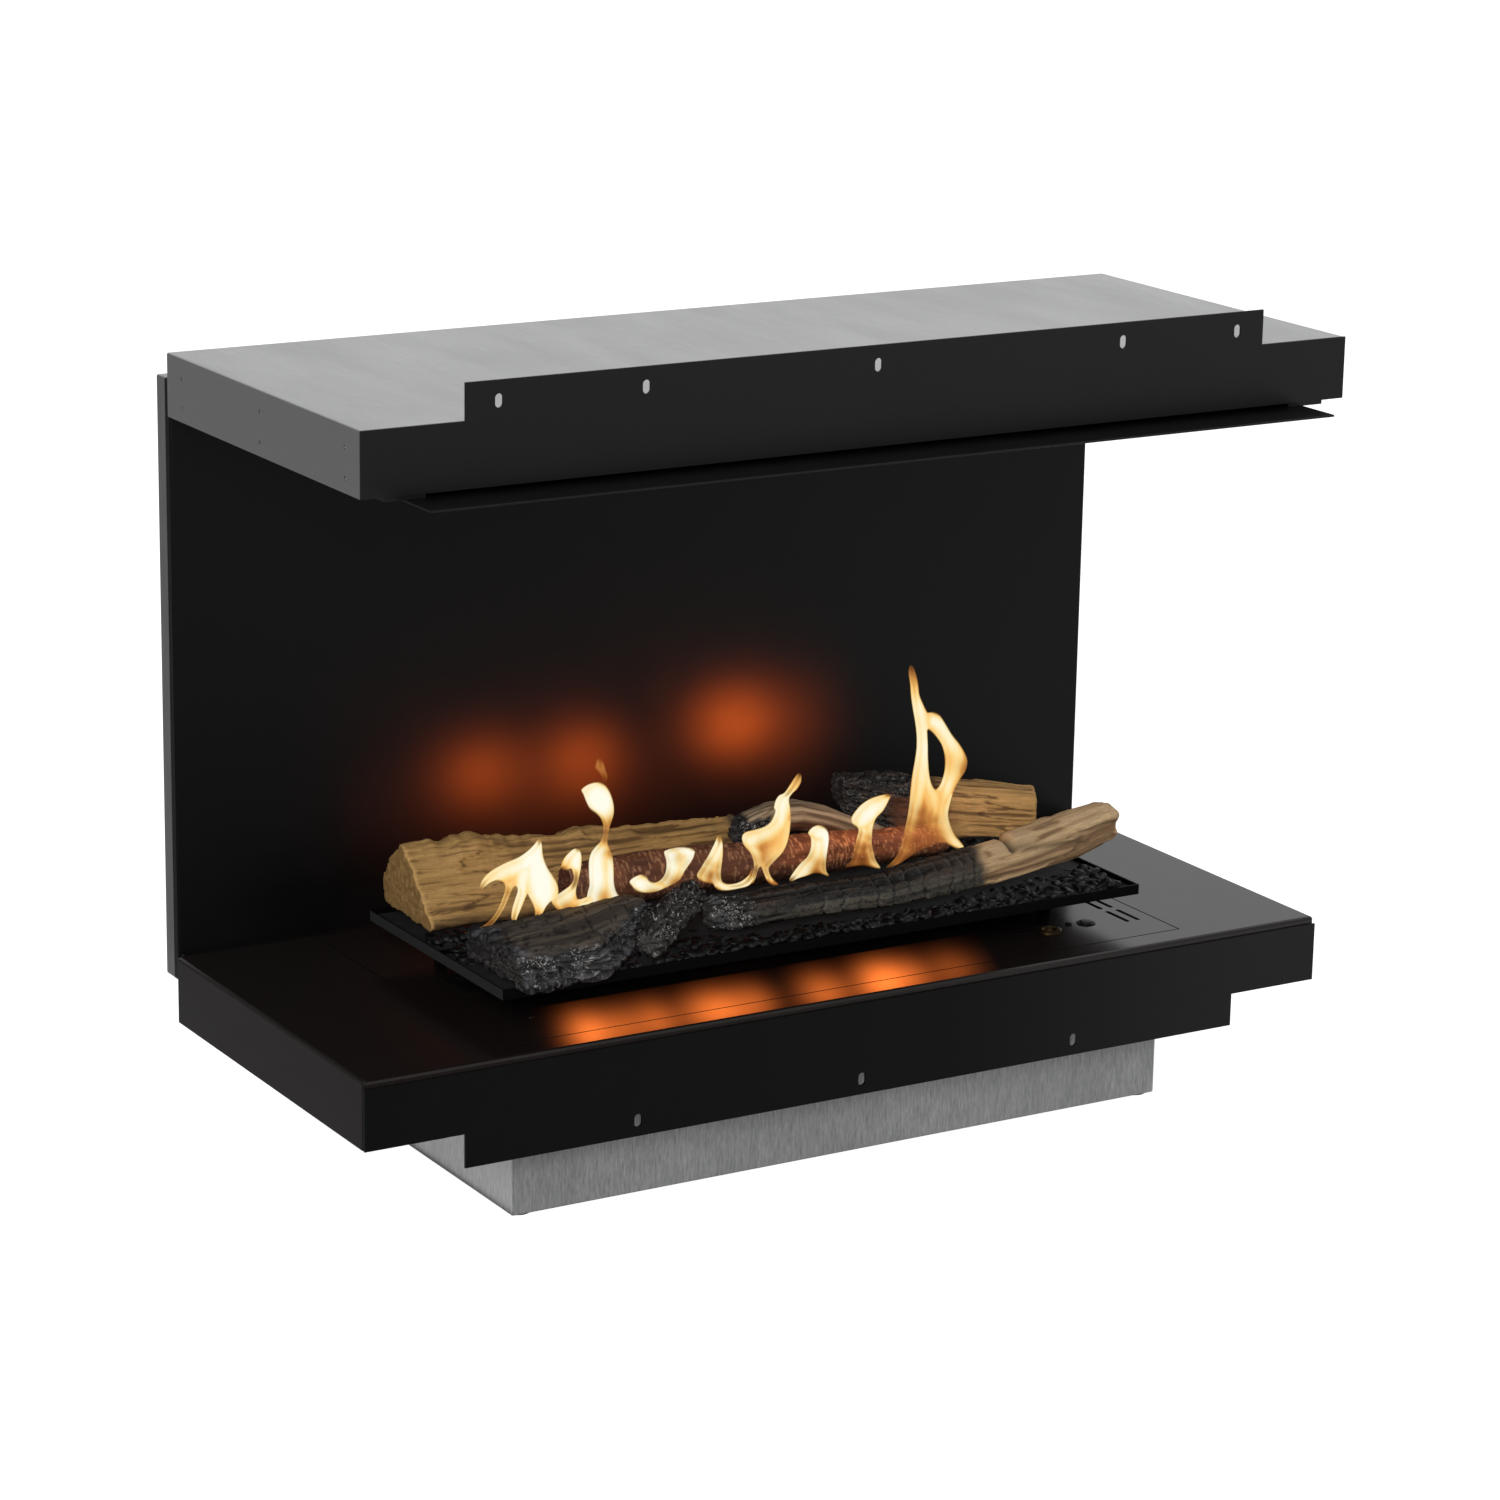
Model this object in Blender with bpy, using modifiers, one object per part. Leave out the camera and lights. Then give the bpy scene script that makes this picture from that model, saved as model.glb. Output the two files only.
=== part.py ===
"""Built-in three-sided fireplace casing with an automatic liquid-fuel burner.

Metres, +Z up, front towards -Y. The origin is under the middle of the
bounding box, on the floor plane of the four feet. Run it with
blender --background --python part.py, or from the text editor.
"""

import math

import bmesh
import bpy
from mathutils import Matrix, Vector, noise

# ----------------------------------------------------------------------------
# Driving dimensions
# ----------------------------------------------------------------------------
WIDTH = 1.000            # hood and hearth, side to side
FRONT = -0.191           # front face of both fascias
REAR = 0.197             # rear plane of hood and hearth
CENTRE_Y = (FRONT + REAR) / 2

FOOT_H = 0.0015
PLINTH_W = 0.685         # burner housing below the hearth
PLINTH_INSET = 0.032     # behind the fascias, and ahead of the rear plane
HEARTH_Z = 0.161         # top of the hearth
HEARTH_SKIRT = 0.062
HEARTH_FASCIA_DROP = 0.0065   # fascia's top edge below the hearth's top
LOWER_FLANGE = 0.031     # below the skirt
FLANGE_X = 0.405         # both flanges end here

HOOD_Z0 = 0.661
HOOD_Z1 = 0.718
UPPER_FLANGE = 0.032
DEFLECTOR_W = 0.916
DEFLECTOR_OUT = 0.043    # ahead of the fascia
DEFLECTOR_GAP = 0.0045

BACK_W = 0.988
BACK_Y = 0.205           # front face of the black back panel
BACK_RETURN = 0.010
SHELL_Y = 0.2153
SHELL_DEPTH = 0.0187
BACK_Z0 = 0.134
BACK_Z1 = 0.692

BLACK_T = 0.002          # black painted sheet
GALV_T = 0.0015          # galvanised sheet
GAP = 0.0003             # between pieces that touch

SLOT_W, SLOT_H = 0.0074, 0.012
UPPER_SLOTS = (-0.374, -0.235, -0.006, 0.251, 0.3765)
LOWER_SLOTS = (-0.2355, -0.005, 0.225)

PLATE_W, PLATE_D = 0.724, 0.326
PLATE_SEAM = 0.0015
TROUGH_X0, TROUGH_X1 = -0.310, 0.250
TROUGH_D = 0.040
TROUGH_Z0 = 0.128

INLET = (0.2519, FRONT + 0.0827)
BUTTON = (0.2954, FRONT + 0.0857)
WINDOW = (0.2244, FRONT + 0.0887)
SCREWS = {"left": (-0.2956, FRONT + 0.0868), "right": (0.2784, FRONT + 0.0902)}
BUTTON_TRAVEL = 0.0015
FAN = (0.300, FRONT + 0.140, 0.1455)

TRAY_BASE = 0.164        # level that the tray, gravel and logs are measured from
TRAY_X = 0.337
TRAY_Y0, TRAY_Y1 = FRONT + 0.061, FRONT + 0.321
TRAY_Z0, TRAY_Z1 = TRAY_BASE + 0.0265, TRAY_BASE + 0.036
SLIT_X0, SLIT_X1 = -0.305, 0.245
SLIT_Y0, SLIT_Y1 = FRONT + 0.183, FRONT + 0.205

# ----------------------------------------------------------------------------
# Scene, collections, materials
# ----------------------------------------------------------------------------
for old in list(bpy.data.objects):
    bpy.data.objects.remove(old, do_unlink=True)

PARTS = bpy.data.collections.new("built_in_fireplace")
HELPERS = bpy.data.collections.new("cutters")
bpy.context.scene.collection.children.link(PARTS)
bpy.context.scene.collection.children.link(HELPERS)


def material(name, colour, metallic, roughness):
    mat = bpy.data.materials.new(name)
    mat.use_nodes = True
    shader = mat.node_tree.nodes["Principled BSDF"]
    shader.inputs["Base Color"].default_value = (*colour, 1.0)
    shader.inputs["Metallic"].default_value = metallic
    shader.inputs["Roughness"].default_value = roughness
    return mat


GALVANISED = material("galvanised_steel", (0.52, 0.53, 0.54), 1.0, 0.38)
BLACK_PAINT = material("black_paint", (0.020, 0.020, 0.021), 0.0, 0.42)
BLACK_GLOSS = material("black_hearth_paint", (0.012, 0.012, 0.013), 0.0, 0.22)
STAINLESS = material("stainless_steel", (0.60, 0.60, 0.58), 1.0, 0.30)
BRASS = material("brass", (0.72, 0.50, 0.20), 1.0, 0.28)
BLACK_PLASTIC = material("black_plastic", (0.015, 0.015, 0.015), 0.0, 0.35)
RUBBER = material("rubber", (0.03, 0.03, 0.03), 0.0, 0.80)
SMOKED = material("smoked_window", (0.01, 0.01, 0.012), 0.0, 0.08)
BOARD_GREEN = material("circuit_board", (0.03, 0.16, 0.07), 0.0, 0.45)
CERAMIC_WHITE = material("white_ceramic", (0.80, 0.78, 0.72), 0.0, 0.50)
COPPER = material("copper_tube", (0.72, 0.38, 0.24), 1.0, 0.30)
EMBERS = material("ember_gravel", (0.030, 0.028, 0.027), 0.0, 0.70)
LOG_TAN = material("ceramic_log_tan", (0.50, 0.36, 0.20), 0.0, 0.75)
LOG_GREY = material("ceramic_log_grey", (0.22, 0.18, 0.15), 0.0, 0.75)
LOG_CHAR = material("ceramic_log_char", (0.035, 0.033, 0.034), 0.0, 0.60)


# ----------------------------------------------------------------------------
# Building blocks
# ----------------------------------------------------------------------------
def put(name, mesh, location, mat=None, helper=False):
    obj = bpy.data.objects.new(name, mesh)
    obj.location = location
    if helper:
        HELPERS.objects.link(obj)
        obj.hide_render = True
        obj.display_type = "WIRE"
    else:
        PARTS.objects.link(obj)
        mesh.materials.append(mat)
    return obj


def mesh_from(bm, name):
    mesh = bpy.data.meshes.new(name)
    bm.to_mesh(mesh)
    bm.free()
    return mesh


def box(name, x, y, z, mat=None, helper=False, bevel=0.0):
    """A block between pairs of X, Y and Z, with its origin at its centre."""
    size = Vector((x[1] - x[0], y[1] - y[0], z[1] - z[0]))
    bm = bmesh.new()
    bmesh.ops.create_cube(bm, size=1.0)
    bmesh.ops.scale(bm, vec=size, verts=bm.verts)
    centre = (sum(x) / 2, sum(y) / 2, sum(z) / 2)
    obj = put(name, mesh_from(bm, name), centre, mat, helper)
    if bevel:
        round_edges(obj, bevel)
    return obj


def round_edges(obj, width, segments=2):
    mod = obj.modifiers.new("round", "BEVEL")
    mod.width = width
    mod.segments = segments
    mod.limit_method = "ANGLE"
    mod.angle_limit = math.radians(40)
    return mod


def folded(name, x, y, z, missing, thickness, radius, mat, helper=False):
    """A folded sheet: the faces of a block without the ones named, such as -Z,
    bent with an outside radius and as thick as the sheet, measured inwards."""
    obj = box(name, x, y, z, mat, helper)
    bm = bmesh.new()
    bm.from_mesh(obj.data)
    drop = []
    for face in bm.faces:
        axis = max(range(3), key=lambda i: abs(face.normal[i]))
        side = ("+" if face.normal[axis] > 0 else "-") + "XYZ"[axis]
        if side in missing:
            drop.append(face)
    bmesh.ops.delete(bm, geom=drop, context="FACES")
    bm.to_mesh(obj.data)
    bm.free()
    if radius:
        round_edges(obj, radius)
    mod = obj.modifiers.new("sheet", "SOLIDIFY")
    mod.thickness = thickness
    mod.offset = -1.0
    mod.use_even_offset = True
    return obj


def boolean(obj, other, operation="DIFFERENCE"):
    mod = obj.modifiers.new(operation.lower(), "BOOLEAN")
    mod.operation = operation
    mod.object = other
    mod.solver = "EXACT"
    return obj


def cut_box(obj, x, y, z):
    return boolean(obj, box(f"cut_{obj.name}", x, y, z, helper=True))


def cylinder(name, centre, radius, length, axis="Z", segments=24, mat=None, helper=False):
    bm = bmesh.new()
    bmesh.ops.create_cone(
        bm, cap_ends=True, segments=segments, radius1=radius, radius2=radius, depth=length
    )
    turn_to(bm, axis)
    obj = put(name, mesh_from(bm, name), centre, mat, helper)
    shade_round(obj)
    return obj


def turn_to(bm, axis):
    if axis == "X":
        bmesh.ops.rotate(bm, verts=bm.verts, matrix=Matrix.Rotation(math.pi / 2, 3, "Y"))
    elif axis == "Y":
        bmesh.ops.rotate(bm, verts=bm.verts, matrix=Matrix.Rotation(-math.pi / 2, 3, "X"))


def slot_cutter(name, centre, width, height, depth, axis):
    """A round-ended slot: a short cylinder whose two halves are pulled apart.
    With axis Y the slot is upright in a wall that faces front, with axis Z it
    lies in a level plate and runs front to back, with axis X across it."""
    bm = bmesh.new()
    bmesh.ops.create_cone(
        bm, cap_ends=True, segments=16, radius1=width / 2, radius2=width / 2, depth=depth
    )
    bmesh.ops.rotate(bm, verts=bm.verts, matrix=Matrix.Rotation(math.pi / 16, 3, "Z"))
    for vert in bm.verts:
        vert.co.y += math.copysign((height - width) / 2, vert.co.y)
    if axis == "Y":
        bmesh.ops.rotate(bm, verts=bm.verts, matrix=Matrix.Rotation(math.pi / 2, 3, "X"))
    elif axis == "X":
        bmesh.ops.rotate(bm, verts=bm.verts, matrix=Matrix.Rotation(math.pi / 2, 3, "Z"))
    return put(name, mesh_from(bm, name), centre, helper=True)


def shade_round(obj):
    obj.data.shade_smooth()
    obj.data.set_sharp_from_angle(angle=math.radians(40))


def turned(name, profile, location, mat, steps=24, rotation=None):
    """A profile of (radius, height), run down its outer side, turned about Z. One
    that ends where it starts makes a ring."""
    bm = bmesh.new()
    ring = profile[0] == profile[-1]
    verts = [bm.verts.new((r, 0.0, h)) for r, h in (profile[:-1] if ring else profile)]
    for a, b in zip(verts, verts[1:] + verts[:1] if ring else verts[1:]):
        bm.edges.new((a, b))
    mesh = bpy.data.meshes.new(name)
    bm.to_mesh(mesh)
    bm.free()
    obj = put(name, mesh, location, mat)
    if rotation:
        obj.rotation_euler = rotation
    mod = obj.modifiers.new("turn", "SCREW")
    mod.steps = steps
    mod.render_steps = steps
    mod.use_merge_vertices = True
    mod.merge_threshold = 0.00001
    mod.use_smooth_shade = True
    return obj


def tube(name, points, radius, mat, bend=0.012):
    """A bent tube through the given corners, each rounded by an arc."""
    path = [Vector(points[0])]
    for before, corner, after in zip(points, points[1:], points[2:]):
        before, corner, after = Vector(before), Vector(corner), Vector(after)
        start = corner + (before - corner).normalized() * bend
        end = corner + (after - corner).normalized() * bend
        for k in range(7):
            t = k / 6
            path.append((1 - t) ** 2 * start + 2 * t * (1 - t) * corner + t * t * end)
    path.append(Vector(points[-1]))
    middle = path[len(path) // 2]
    curve = bpy.data.curves.new(name, "CURVE")
    curve.dimensions = "3D"
    curve.bevel_depth = radius
    curve.bevel_resolution = 2
    curve.use_fill_caps = True
    spline = curve.splines.new("POLY")
    spline.points.add(len(path) - 1)
    for point, co in zip(spline.points, path):
        point.co = (*(co - middle), 1.0)
    obj = bpy.data.objects.new(name, curve)
    obj.location = middle
    PARTS.objects.link(obj)
    curve.materials.append(mat)
    return obj


def fascia(name, z0, z1, flange_z):
    """A front sheet across the whole width, drawn out into a narrower flange
    above or below, up to flange_z."""
    obj = box(name, (-WIDTH / 2, WIDTH / 2), (FRONT, FRONT + BLACK_T), (z0, z1), BLACK_PAINT)
    upwards = flange_z > z1
    bm = bmesh.new()
    bm.from_mesh(obj.data)
    for x in (-FLANGE_X, FLANGE_X):
        bmesh.ops.bisect_plane(bm, geom=bm.verts[:] + bm.edges[:] + bm.faces[:],
                               plane_co=(x, 0, 0), plane_no=(1, 0, 0), dist=1e-6)
    edge = [f for f in bm.faces if (f.normal.z > 0.5 if upwards else f.normal.z < -0.5)
            and abs(f.calc_center_median().x) < 0.1]
    grown = bmesh.ops.extrude_face_region(bm, geom=edge)
    bmesh.ops.delete(bm, geom=edge, context="FACES_ONLY")
    far = [v for v in grown["geom"] if isinstance(v, bmesh.types.BMVert)]
    bmesh.ops.translate(bm, verts=far, vec=(0, 0, flange_z - (z1 if upwards else z0)))
    bmesh.ops.recalc_face_normals(bm, faces=bm.faces)
    bm.to_mesh(obj.data)
    bm.free()
    return obj


# ----------------------------------------------------------------------------
# Hood
# ----------------------------------------------------------------------------
half = WIDTH / 2

hood = folded(
    "hood_shell",
    (-half, half), (FRONT + BLACK_T + GAP, REAR), (HOOD_Z0, HOOD_Z1),
    ("-Z", "-Y"), GALV_T, 0.0018, GALVANISED,
)
# Two screw holes a side at the end of each cross rail.
RAILS_Y = (FRONT + 0.030, FRONT + 0.194, FRONT + 0.3555)
RAIL_HOLES_Z = (HOOD_Z1 - 0.0185, HOOD_Z1 - 0.0445)
hole_cutters = bpy.data.collections.new("hood_side_holes")
HELPERS.children.link(hole_cutters)
for y in RAILS_Y:
    for z in RAIL_HOLES_Z:
        pin = cylinder("cut_hood_hole", (0, y, z), 0.0020, WIDTH + 0.02, "X", 8, helper=True)
        boolean(hood, pin)

hood_fascia = fascia("hood_fascia", HOOD_Z0, HOOD_Z1, HOOD_Z1 + UPPER_FLANGE)
boolean(
    hood_fascia,
    box("hood_fascia_return", (-0.4975, 0.4975), (FRONT + 0.001, FRONT + 0.012),
        (HOOD_Z0, HOOD_Z0 + BLACK_T), helper=True),
    "UNION",
)
for x in UPPER_SLOTS:
    boolean(hood_fascia, slot_cutter("cut_upper_slot", (x, FRONT, HOOD_Z1 + 0.0145),
                                     SLOT_W, SLOT_H, 0.02, "Y"))

for name, y, open_side in zip(("front", "middle", "rear"), RAILS_Y, ("+Y", "+Y", "-Y")):
    rail = folded(
        f"hood_rail_{name}",
        (-half + GALV_T + GAP, half - GALV_T - GAP), (y - 0.010, y + 0.010),
        (HOOD_Z0 + 0.0025, HOOD_Z1 - GALV_T - GAP),
        (open_side,), GALV_T, 0, GALVANISED,
    )
    # The screws' clearance holes in the rail's two end tabs.
    for z in RAIL_HOLES_Z:
        boolean(rail, cylinder("cut_rail_hole", (0, y, z), 0.0013, WIDTH, "X", 8, helper=True))

box(
    "ceiling_panel",
    (-half + GALV_T + 0.001, half - GALV_T - 0.001), (FRONT + 0.0125, REAR - 0.0020),
    (HOOD_Z0 + 0.0002, HOOD_Z0 + 0.0022), BLACK_PAINT,
)

deflector_top = HOOD_Z0 - DEFLECTOR_GAP
box(
    "heat_deflector",
    (-DEFLECTOR_W / 2, DEFLECTOR_W / 2), (FRONT - DEFLECTOR_OUT, REAR - 0.012),
    (deflector_top - BLACK_T, deflector_top), BLACK_PAINT, bevel=0.0004,
)
for name, x in (("left", -0.459), ("right", 0.459)):
    box(
        f"deflector_bar_{name}",
        (x - 0.019, x + 0.019), (FRONT + 0.0025, REAR - 0.030),
        (deflector_top + GAP, HOOD_Z0 + 0.0002 - GAP), BLACK_PAINT,
    )

# ----------------------------------------------------------------------------
# Back
# ----------------------------------------------------------------------------
back_half = BACK_W / 2
folded(
    "back_panel",
    (-back_half, back_half), (BACK_Y, BACK_Y + BACK_RETURN), (BACK_Z0, BACK_Z1),
    ("+Y",), GALV_T, 0.0018, BLACK_GLOSS,
)
rear_shell = folded(
    "rear_shell",
    (-back_half, back_half), (SHELL_Y, SHELL_Y + SHELL_DEPTH), (BACK_Z0, BACK_Z1),
    ("-Y",), GALV_T, 0.0018, GALVANISED,
)
for name, x in (("left", -0.250), ("right", 0.250)):
    folded(
        f"rear_stiffener_{name}",
        (x - 0.020, x + 0.020), (BACK_Y + GALV_T + GAP, SHELL_Y + SHELL_DEPTH - GALV_T - GAP),
        (BACK_Z0 + 0.020, BACK_Z1 - 0.020),
        ("-Z", "+Z", "-Y"), GALV_T, 0, GALVANISED,
    )
for name, z in (("upper", (HOOD_Z0 + 0.003, BACK_Z1 - 0.002)), ("lower", (BACK_Z0 + 0.002, HEARTH_Z))):
    folded(
        f"{name}_rear_rail",
        (-back_half + 0.002, back_half - 0.002), (REAR + GAP, BACK_Y - GAP), z,
        ("-Z",), 0.0012, 0, BLACK_PAINT,
    )

# ----------------------------------------------------------------------------
# Hearth
# ----------------------------------------------------------------------------
hearth = folded(
    "hearth_pan",
    (-half, half), (FRONT + BLACK_T + GAP, REAR), (HEARTH_Z - HEARTH_SKIRT, HEARTH_Z),
    ("-Z",), BLACK_T, 0.003, BLACK_GLOSS,
)
cut_box(
    hearth,
    (-PLATE_W / 2 - PLATE_SEAM, PLATE_W / 2 + PLATE_SEAM),
    (CENTRE_Y - PLATE_D / 2 - PLATE_SEAM, CENTRE_Y + PLATE_D / 2 + PLATE_SEAM),
    (HEARTH_Z - 0.010, HEARTH_Z + 0.010),
)

skirt_z = HEARTH_Z - HEARTH_SKIRT
hearth_fascia = fascia("hearth_fascia", skirt_z, HEARTH_Z - HEARTH_FASCIA_DROP,
                       skirt_z - LOWER_FLANGE)
for x in LOWER_SLOTS:
    boolean(hearth_fascia, slot_cutter("cut_lower_slot", (x, FRONT, skirt_z - 0.0165),
                                       SLOT_W, SLOT_H, 0.02, "Y"))

# ----------------------------------------------------------------------------
# Burner housing, plate and feet
# ----------------------------------------------------------------------------
plinth = PLINTH_W / 2
house_y0, house_y1 = FRONT + PLINTH_INSET, REAR - PLINTH_INSET
rim_z = HEARTH_Z - BLACK_T - GAP
housing = folded(
    "burner_housing",
    (-plinth, plinth), (house_y0, house_y1), (FOOT_H, rim_z - 0.0005),
    ("+Z",), GALV_T, 0.0018, GALVANISED,
)
rim = box(
    "housing_rim", (-0.378, 0.378), (FRONT + 0.008, REAR - 0.008),
    (rim_z - GALV_T, rim_z), helper=True,
)
cut_box(rim, (-plinth + GALV_T, plinth - GALV_T), (house_y0 + GALV_T, house_y1 - GALV_T),
        (rim_z - 0.01, rim_z + 0.01))
boolean(housing, rim, "UNION")
for k in range(5):
    boolean(housing, slot_cutter("cut_housing_vent", (-0.060 + 0.030 * k, house_y1, 0.060),
                                 0.005, 0.036, 0.02, "Y"))
POWER = (0.260, house_y1, 0.100)
cut_box(housing, (POWER[0] - 0.0145, POWER[0] + 0.0145), (house_y1 - 0.01, house_y1 + 0.01),
        (POWER[2] - 0.0105, POWER[2] + 0.0105))

for side, x in (("left", -plinth + 0.013), ("right", plinth - 0.013)):
    for end, y in (("front", house_y0 + 0.013), ("rear", house_y1 - 0.013)):
        turned(
            f"foot_{end}_{side}",
            [(0, FOOT_H - GAP), (0.0110, FOOT_H - GAP), (0.0110, 0.0008), (0.0102, 0), (0, 0)],
            (x, y, 0.0), RUBBER, steps=20,
        )

plate = box(
    "burner_top_plate", (-PLATE_W / 2, PLATE_W / 2),
    (CENTRE_Y - PLATE_D / 2, CENTRE_Y + PLATE_D / 2), (HEARTH_Z - BLACK_T, HEARTH_Z), BLACK_GLOSS,
)
slot_y0, slot_y1 = CENTRE_Y - TROUGH_D / 2, CENTRE_Y + TROUGH_D / 2
cut_box(plate, (TROUGH_X0 - 0.0006, TROUGH_X1 + 0.0006), (slot_y0 - 0.0006, slot_y1 + 0.0006),
        (HEARTH_Z - 0.01, HEARTH_Z + 0.01))
for x in (0.3338, 0.3456):
    for y in (0.0890, 0.1330):
        boolean(plate, slot_cutter("cut_plate_vent", (x, FRONT + y, HEARTH_Z),
                                   0.0048, 0.037, 0.01, "Z"))
boolean(plate, cylinder("cut_inlet", (*INLET, HEARTH_Z), 0.0088, 0.01, helper=True))
boolean(plate, cylinder("cut_button", (*BUTTON, HEARTH_Z), 0.0078, 0.01, helper=True))
cut_box(plate, (WINDOW[0] - 0.0094, WINDOW[0] + 0.0094), (WINDOW[1] - 0.0019, WINDOW[1] + 0.0019),
        (HEARTH_Z - 0.01, HEARTH_Z + 0.01))
for x, y in SCREWS.values():
    boolean(plate, cylinder("cut_screw", (x, y, HEARTH_Z), 0.0018, 0.01, segments=12, helper=True))

# ----------------------------------------------------------------------------
# Controls and filler in the plate
# ----------------------------------------------------------------------------
turned(
    "fuel_inlet",
    [(0.0100, 0.0016), (0.0115, 0.0010), (0.0115, GAP), (0.0085, GAP), (0.0085, -0.024),
     (0.0050, -0.024), (0.0050, -0.0005), (0.0064, 0.0009), (0.0070, 0.0016), (0.0100, 0.0016)],
    (*INLET, HEARTH_Z), BRASS, steps=28,
)
# The valve's head closes the inlet's bore and is pushed down by the filler's nozzle.
turned(
    "inlet_valve",
    [(0, -0.0030), (0.0040, -0.0034), (0.0047, -0.0040), (0.0047, -0.0120),
     (0.0020, -0.0130), (0.0020, -0.0190), (0, -0.0190)],
    (*INLET, HEARTH_Z), STAINLESS, steps=20,
)
turned(
    "button_bezel",
    [(0.0080, 0.0012), (0.0092, 0.0006), (0.0092, GAP), (0.0075, GAP), (0.0075, -0.014),
     (0.0067, -0.014), (0.0067, 0.0008), (0.0071, 0.0012), (0.0080, 0.0012)],
    (*BUTTON, HEARTH_Z), BLACK_PLASTIC, steps=28,
)
turned(
    "control_button",
    [(0, 0.0024), (0.0050, 0.0023), (0.0060, 0.0019), (0.0064, 0.0012), (0.0064, -0.010),
     (0, -0.010)],
    (*BUTTON, HEARTH_Z), BLACK_PLASTIC, steps=24,
)
box(
    "status_window", (WINDOW[0] - 0.009, WINDOW[0] + 0.009), (WINDOW[1] - 0.0015, WINDOW[1] + 0.0015),
    (HEARTH_Z - 0.0024, HEARTH_Z + 0.0004), SMOKED,
)
for side, (x, y) in SCREWS.items():
    turned(
        f"plate_screw_{side}",
        [(0, 0.0016), (0.0018, 0.0015), (0.0030, 0.0010), (0.0033, GAP), (0.0015, GAP),
         (0.0015, -0.0070), (0, -0.0075)],
        (x, y, HEARTH_Z), STAINLESS, steps=16,
    )

# ----------------------------------------------------------------------------
# Inside the housing
# ----------------------------------------------------------------------------
trough = folded(
    "burner_trough", (TROUGH_X0, TROUGH_X1), (slot_y0, slot_y1), (TROUGH_Z0, HEARTH_Z + 0.0010),
    ("+Z",), 0.0012, 0.0015, STAINLESS,
)
trough_rim = box("trough_rim", (TROUGH_X0 - 0.008, TROUGH_X1 + 0.008), (slot_y0 - 0.008, slot_y1 + 0.008),
                 (HEARTH_Z + GAP, HEARTH_Z + 0.0015), helper=True)
cut_box(trough_rim, (TROUGH_X0 + 0.0012, TROUGH_X1 - 0.0012), (slot_y0 + 0.0012, slot_y1 - 0.0012),
        (HEARTH_Z - 0.01, HEARTH_Z + 0.01))
boolean(trough, trough_rim, "UNION")
boolean(trough, cylinder("cut_igniter", (TROUGH_X1, CENTRE_Y, 0.148), 0.0029, 0.01, "X", 16, helper=True))

turned(
    "igniter",
    [(0, 0.034), (0.0052, 0.034), (0.0052, 0.0020), (0.0025, 0.0020), (0.0025, -0.024), (0, -0.026)],
    (TROUGH_X1, CENTRE_Y, 0.148), CERAMIC_WHITE, steps=16, rotation=(0, math.pi / 2, 0),
)

TANK_X, TANK_Y, TANK_Z = (-0.300, 0.100), (CENTRE_Y - 0.110, CENTRE_Y + 0.110), (0.012, 0.085)
folded("fuel_tank", TANK_X, TANK_Y, TANK_Z, ("+Z",), 0.0012, 0.004, STAINLESS)
tank_lid = box("tank_lid", (TANK_X[0] - 0.006, TANK_X[1] + 0.006), (TANK_Y[0] - 0.006, TANK_Y[1] + 0.006),
               (TANK_Z[1] + GAP, TANK_Z[1] + 0.0018), STAINLESS)
FLOAT = (0.050, CENTRE_Y + 0.060)
turned(
    "float_stem",
    [(0, TANK_Z[1]), (0.0030, TANK_Z[1]), (0.0030, 0.0140), (0.0024, 0.0135), (0, 0.0135)],
    (*FLOAT, 0), STAINLESS, steps=16,
)
turned(
    "level_float",
    [(0.0120, 0.0300), (0.0150, 0.0280), (0.0150, 0.0180), (0.0120, 0.0160), (0.0038, 0.0160),
     (0.0038, 0.0300), (0.0120, 0.0300)],
    (*FLOAT, 0), BLACK_PLASTIC, steps=20,
)

PUMP = (0.170, CENTRE_Y - 0.060, 0.034)
pump = cylinder("fuel_pump", PUMP, 0.018, 0.066, "X", 24, STAINLESS)
boolean(pump, cylinder("pump_outlet", (PUMP[0], PUMP[1], PUMP[2] + 0.021), 0.005, 0.012,
                       segments=16, helper=True), "UNION")
boolean(pump, box("pump_cradle", (PUMP[0] - 0.026, PUMP[0] + 0.026), (PUMP[1] - 0.022, PUMP[1] + 0.022),
                  (FOOT_H + GALV_T + GAP, PUMP[2] - 0.014), helper=True), "UNION")
tube(
    "feed_pipe",
    [(PUMP[0], PUMP[1], PUMP[2] + 0.0273), (PUMP[0], PUMP[1], 0.1020),
     (0.2200, CENTRE_Y, 0.1020), (0.2200, CENTRE_Y, TROUGH_Z0 - GAP)],
    0.0030, COPPER,
)
tube(
    "fill_pipe",
    [(*INLET, HEARTH_Z - 0.0243), (*INLET, 0.1120), (0.0600, CENTRE_Y - 0.070, 0.1120),
     (0.0600, CENTRE_Y - 0.070, TANK_Z[1] + 0.0018 + GAP)],
    0.0050, STAINLESS, bend=0.014,
)

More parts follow.
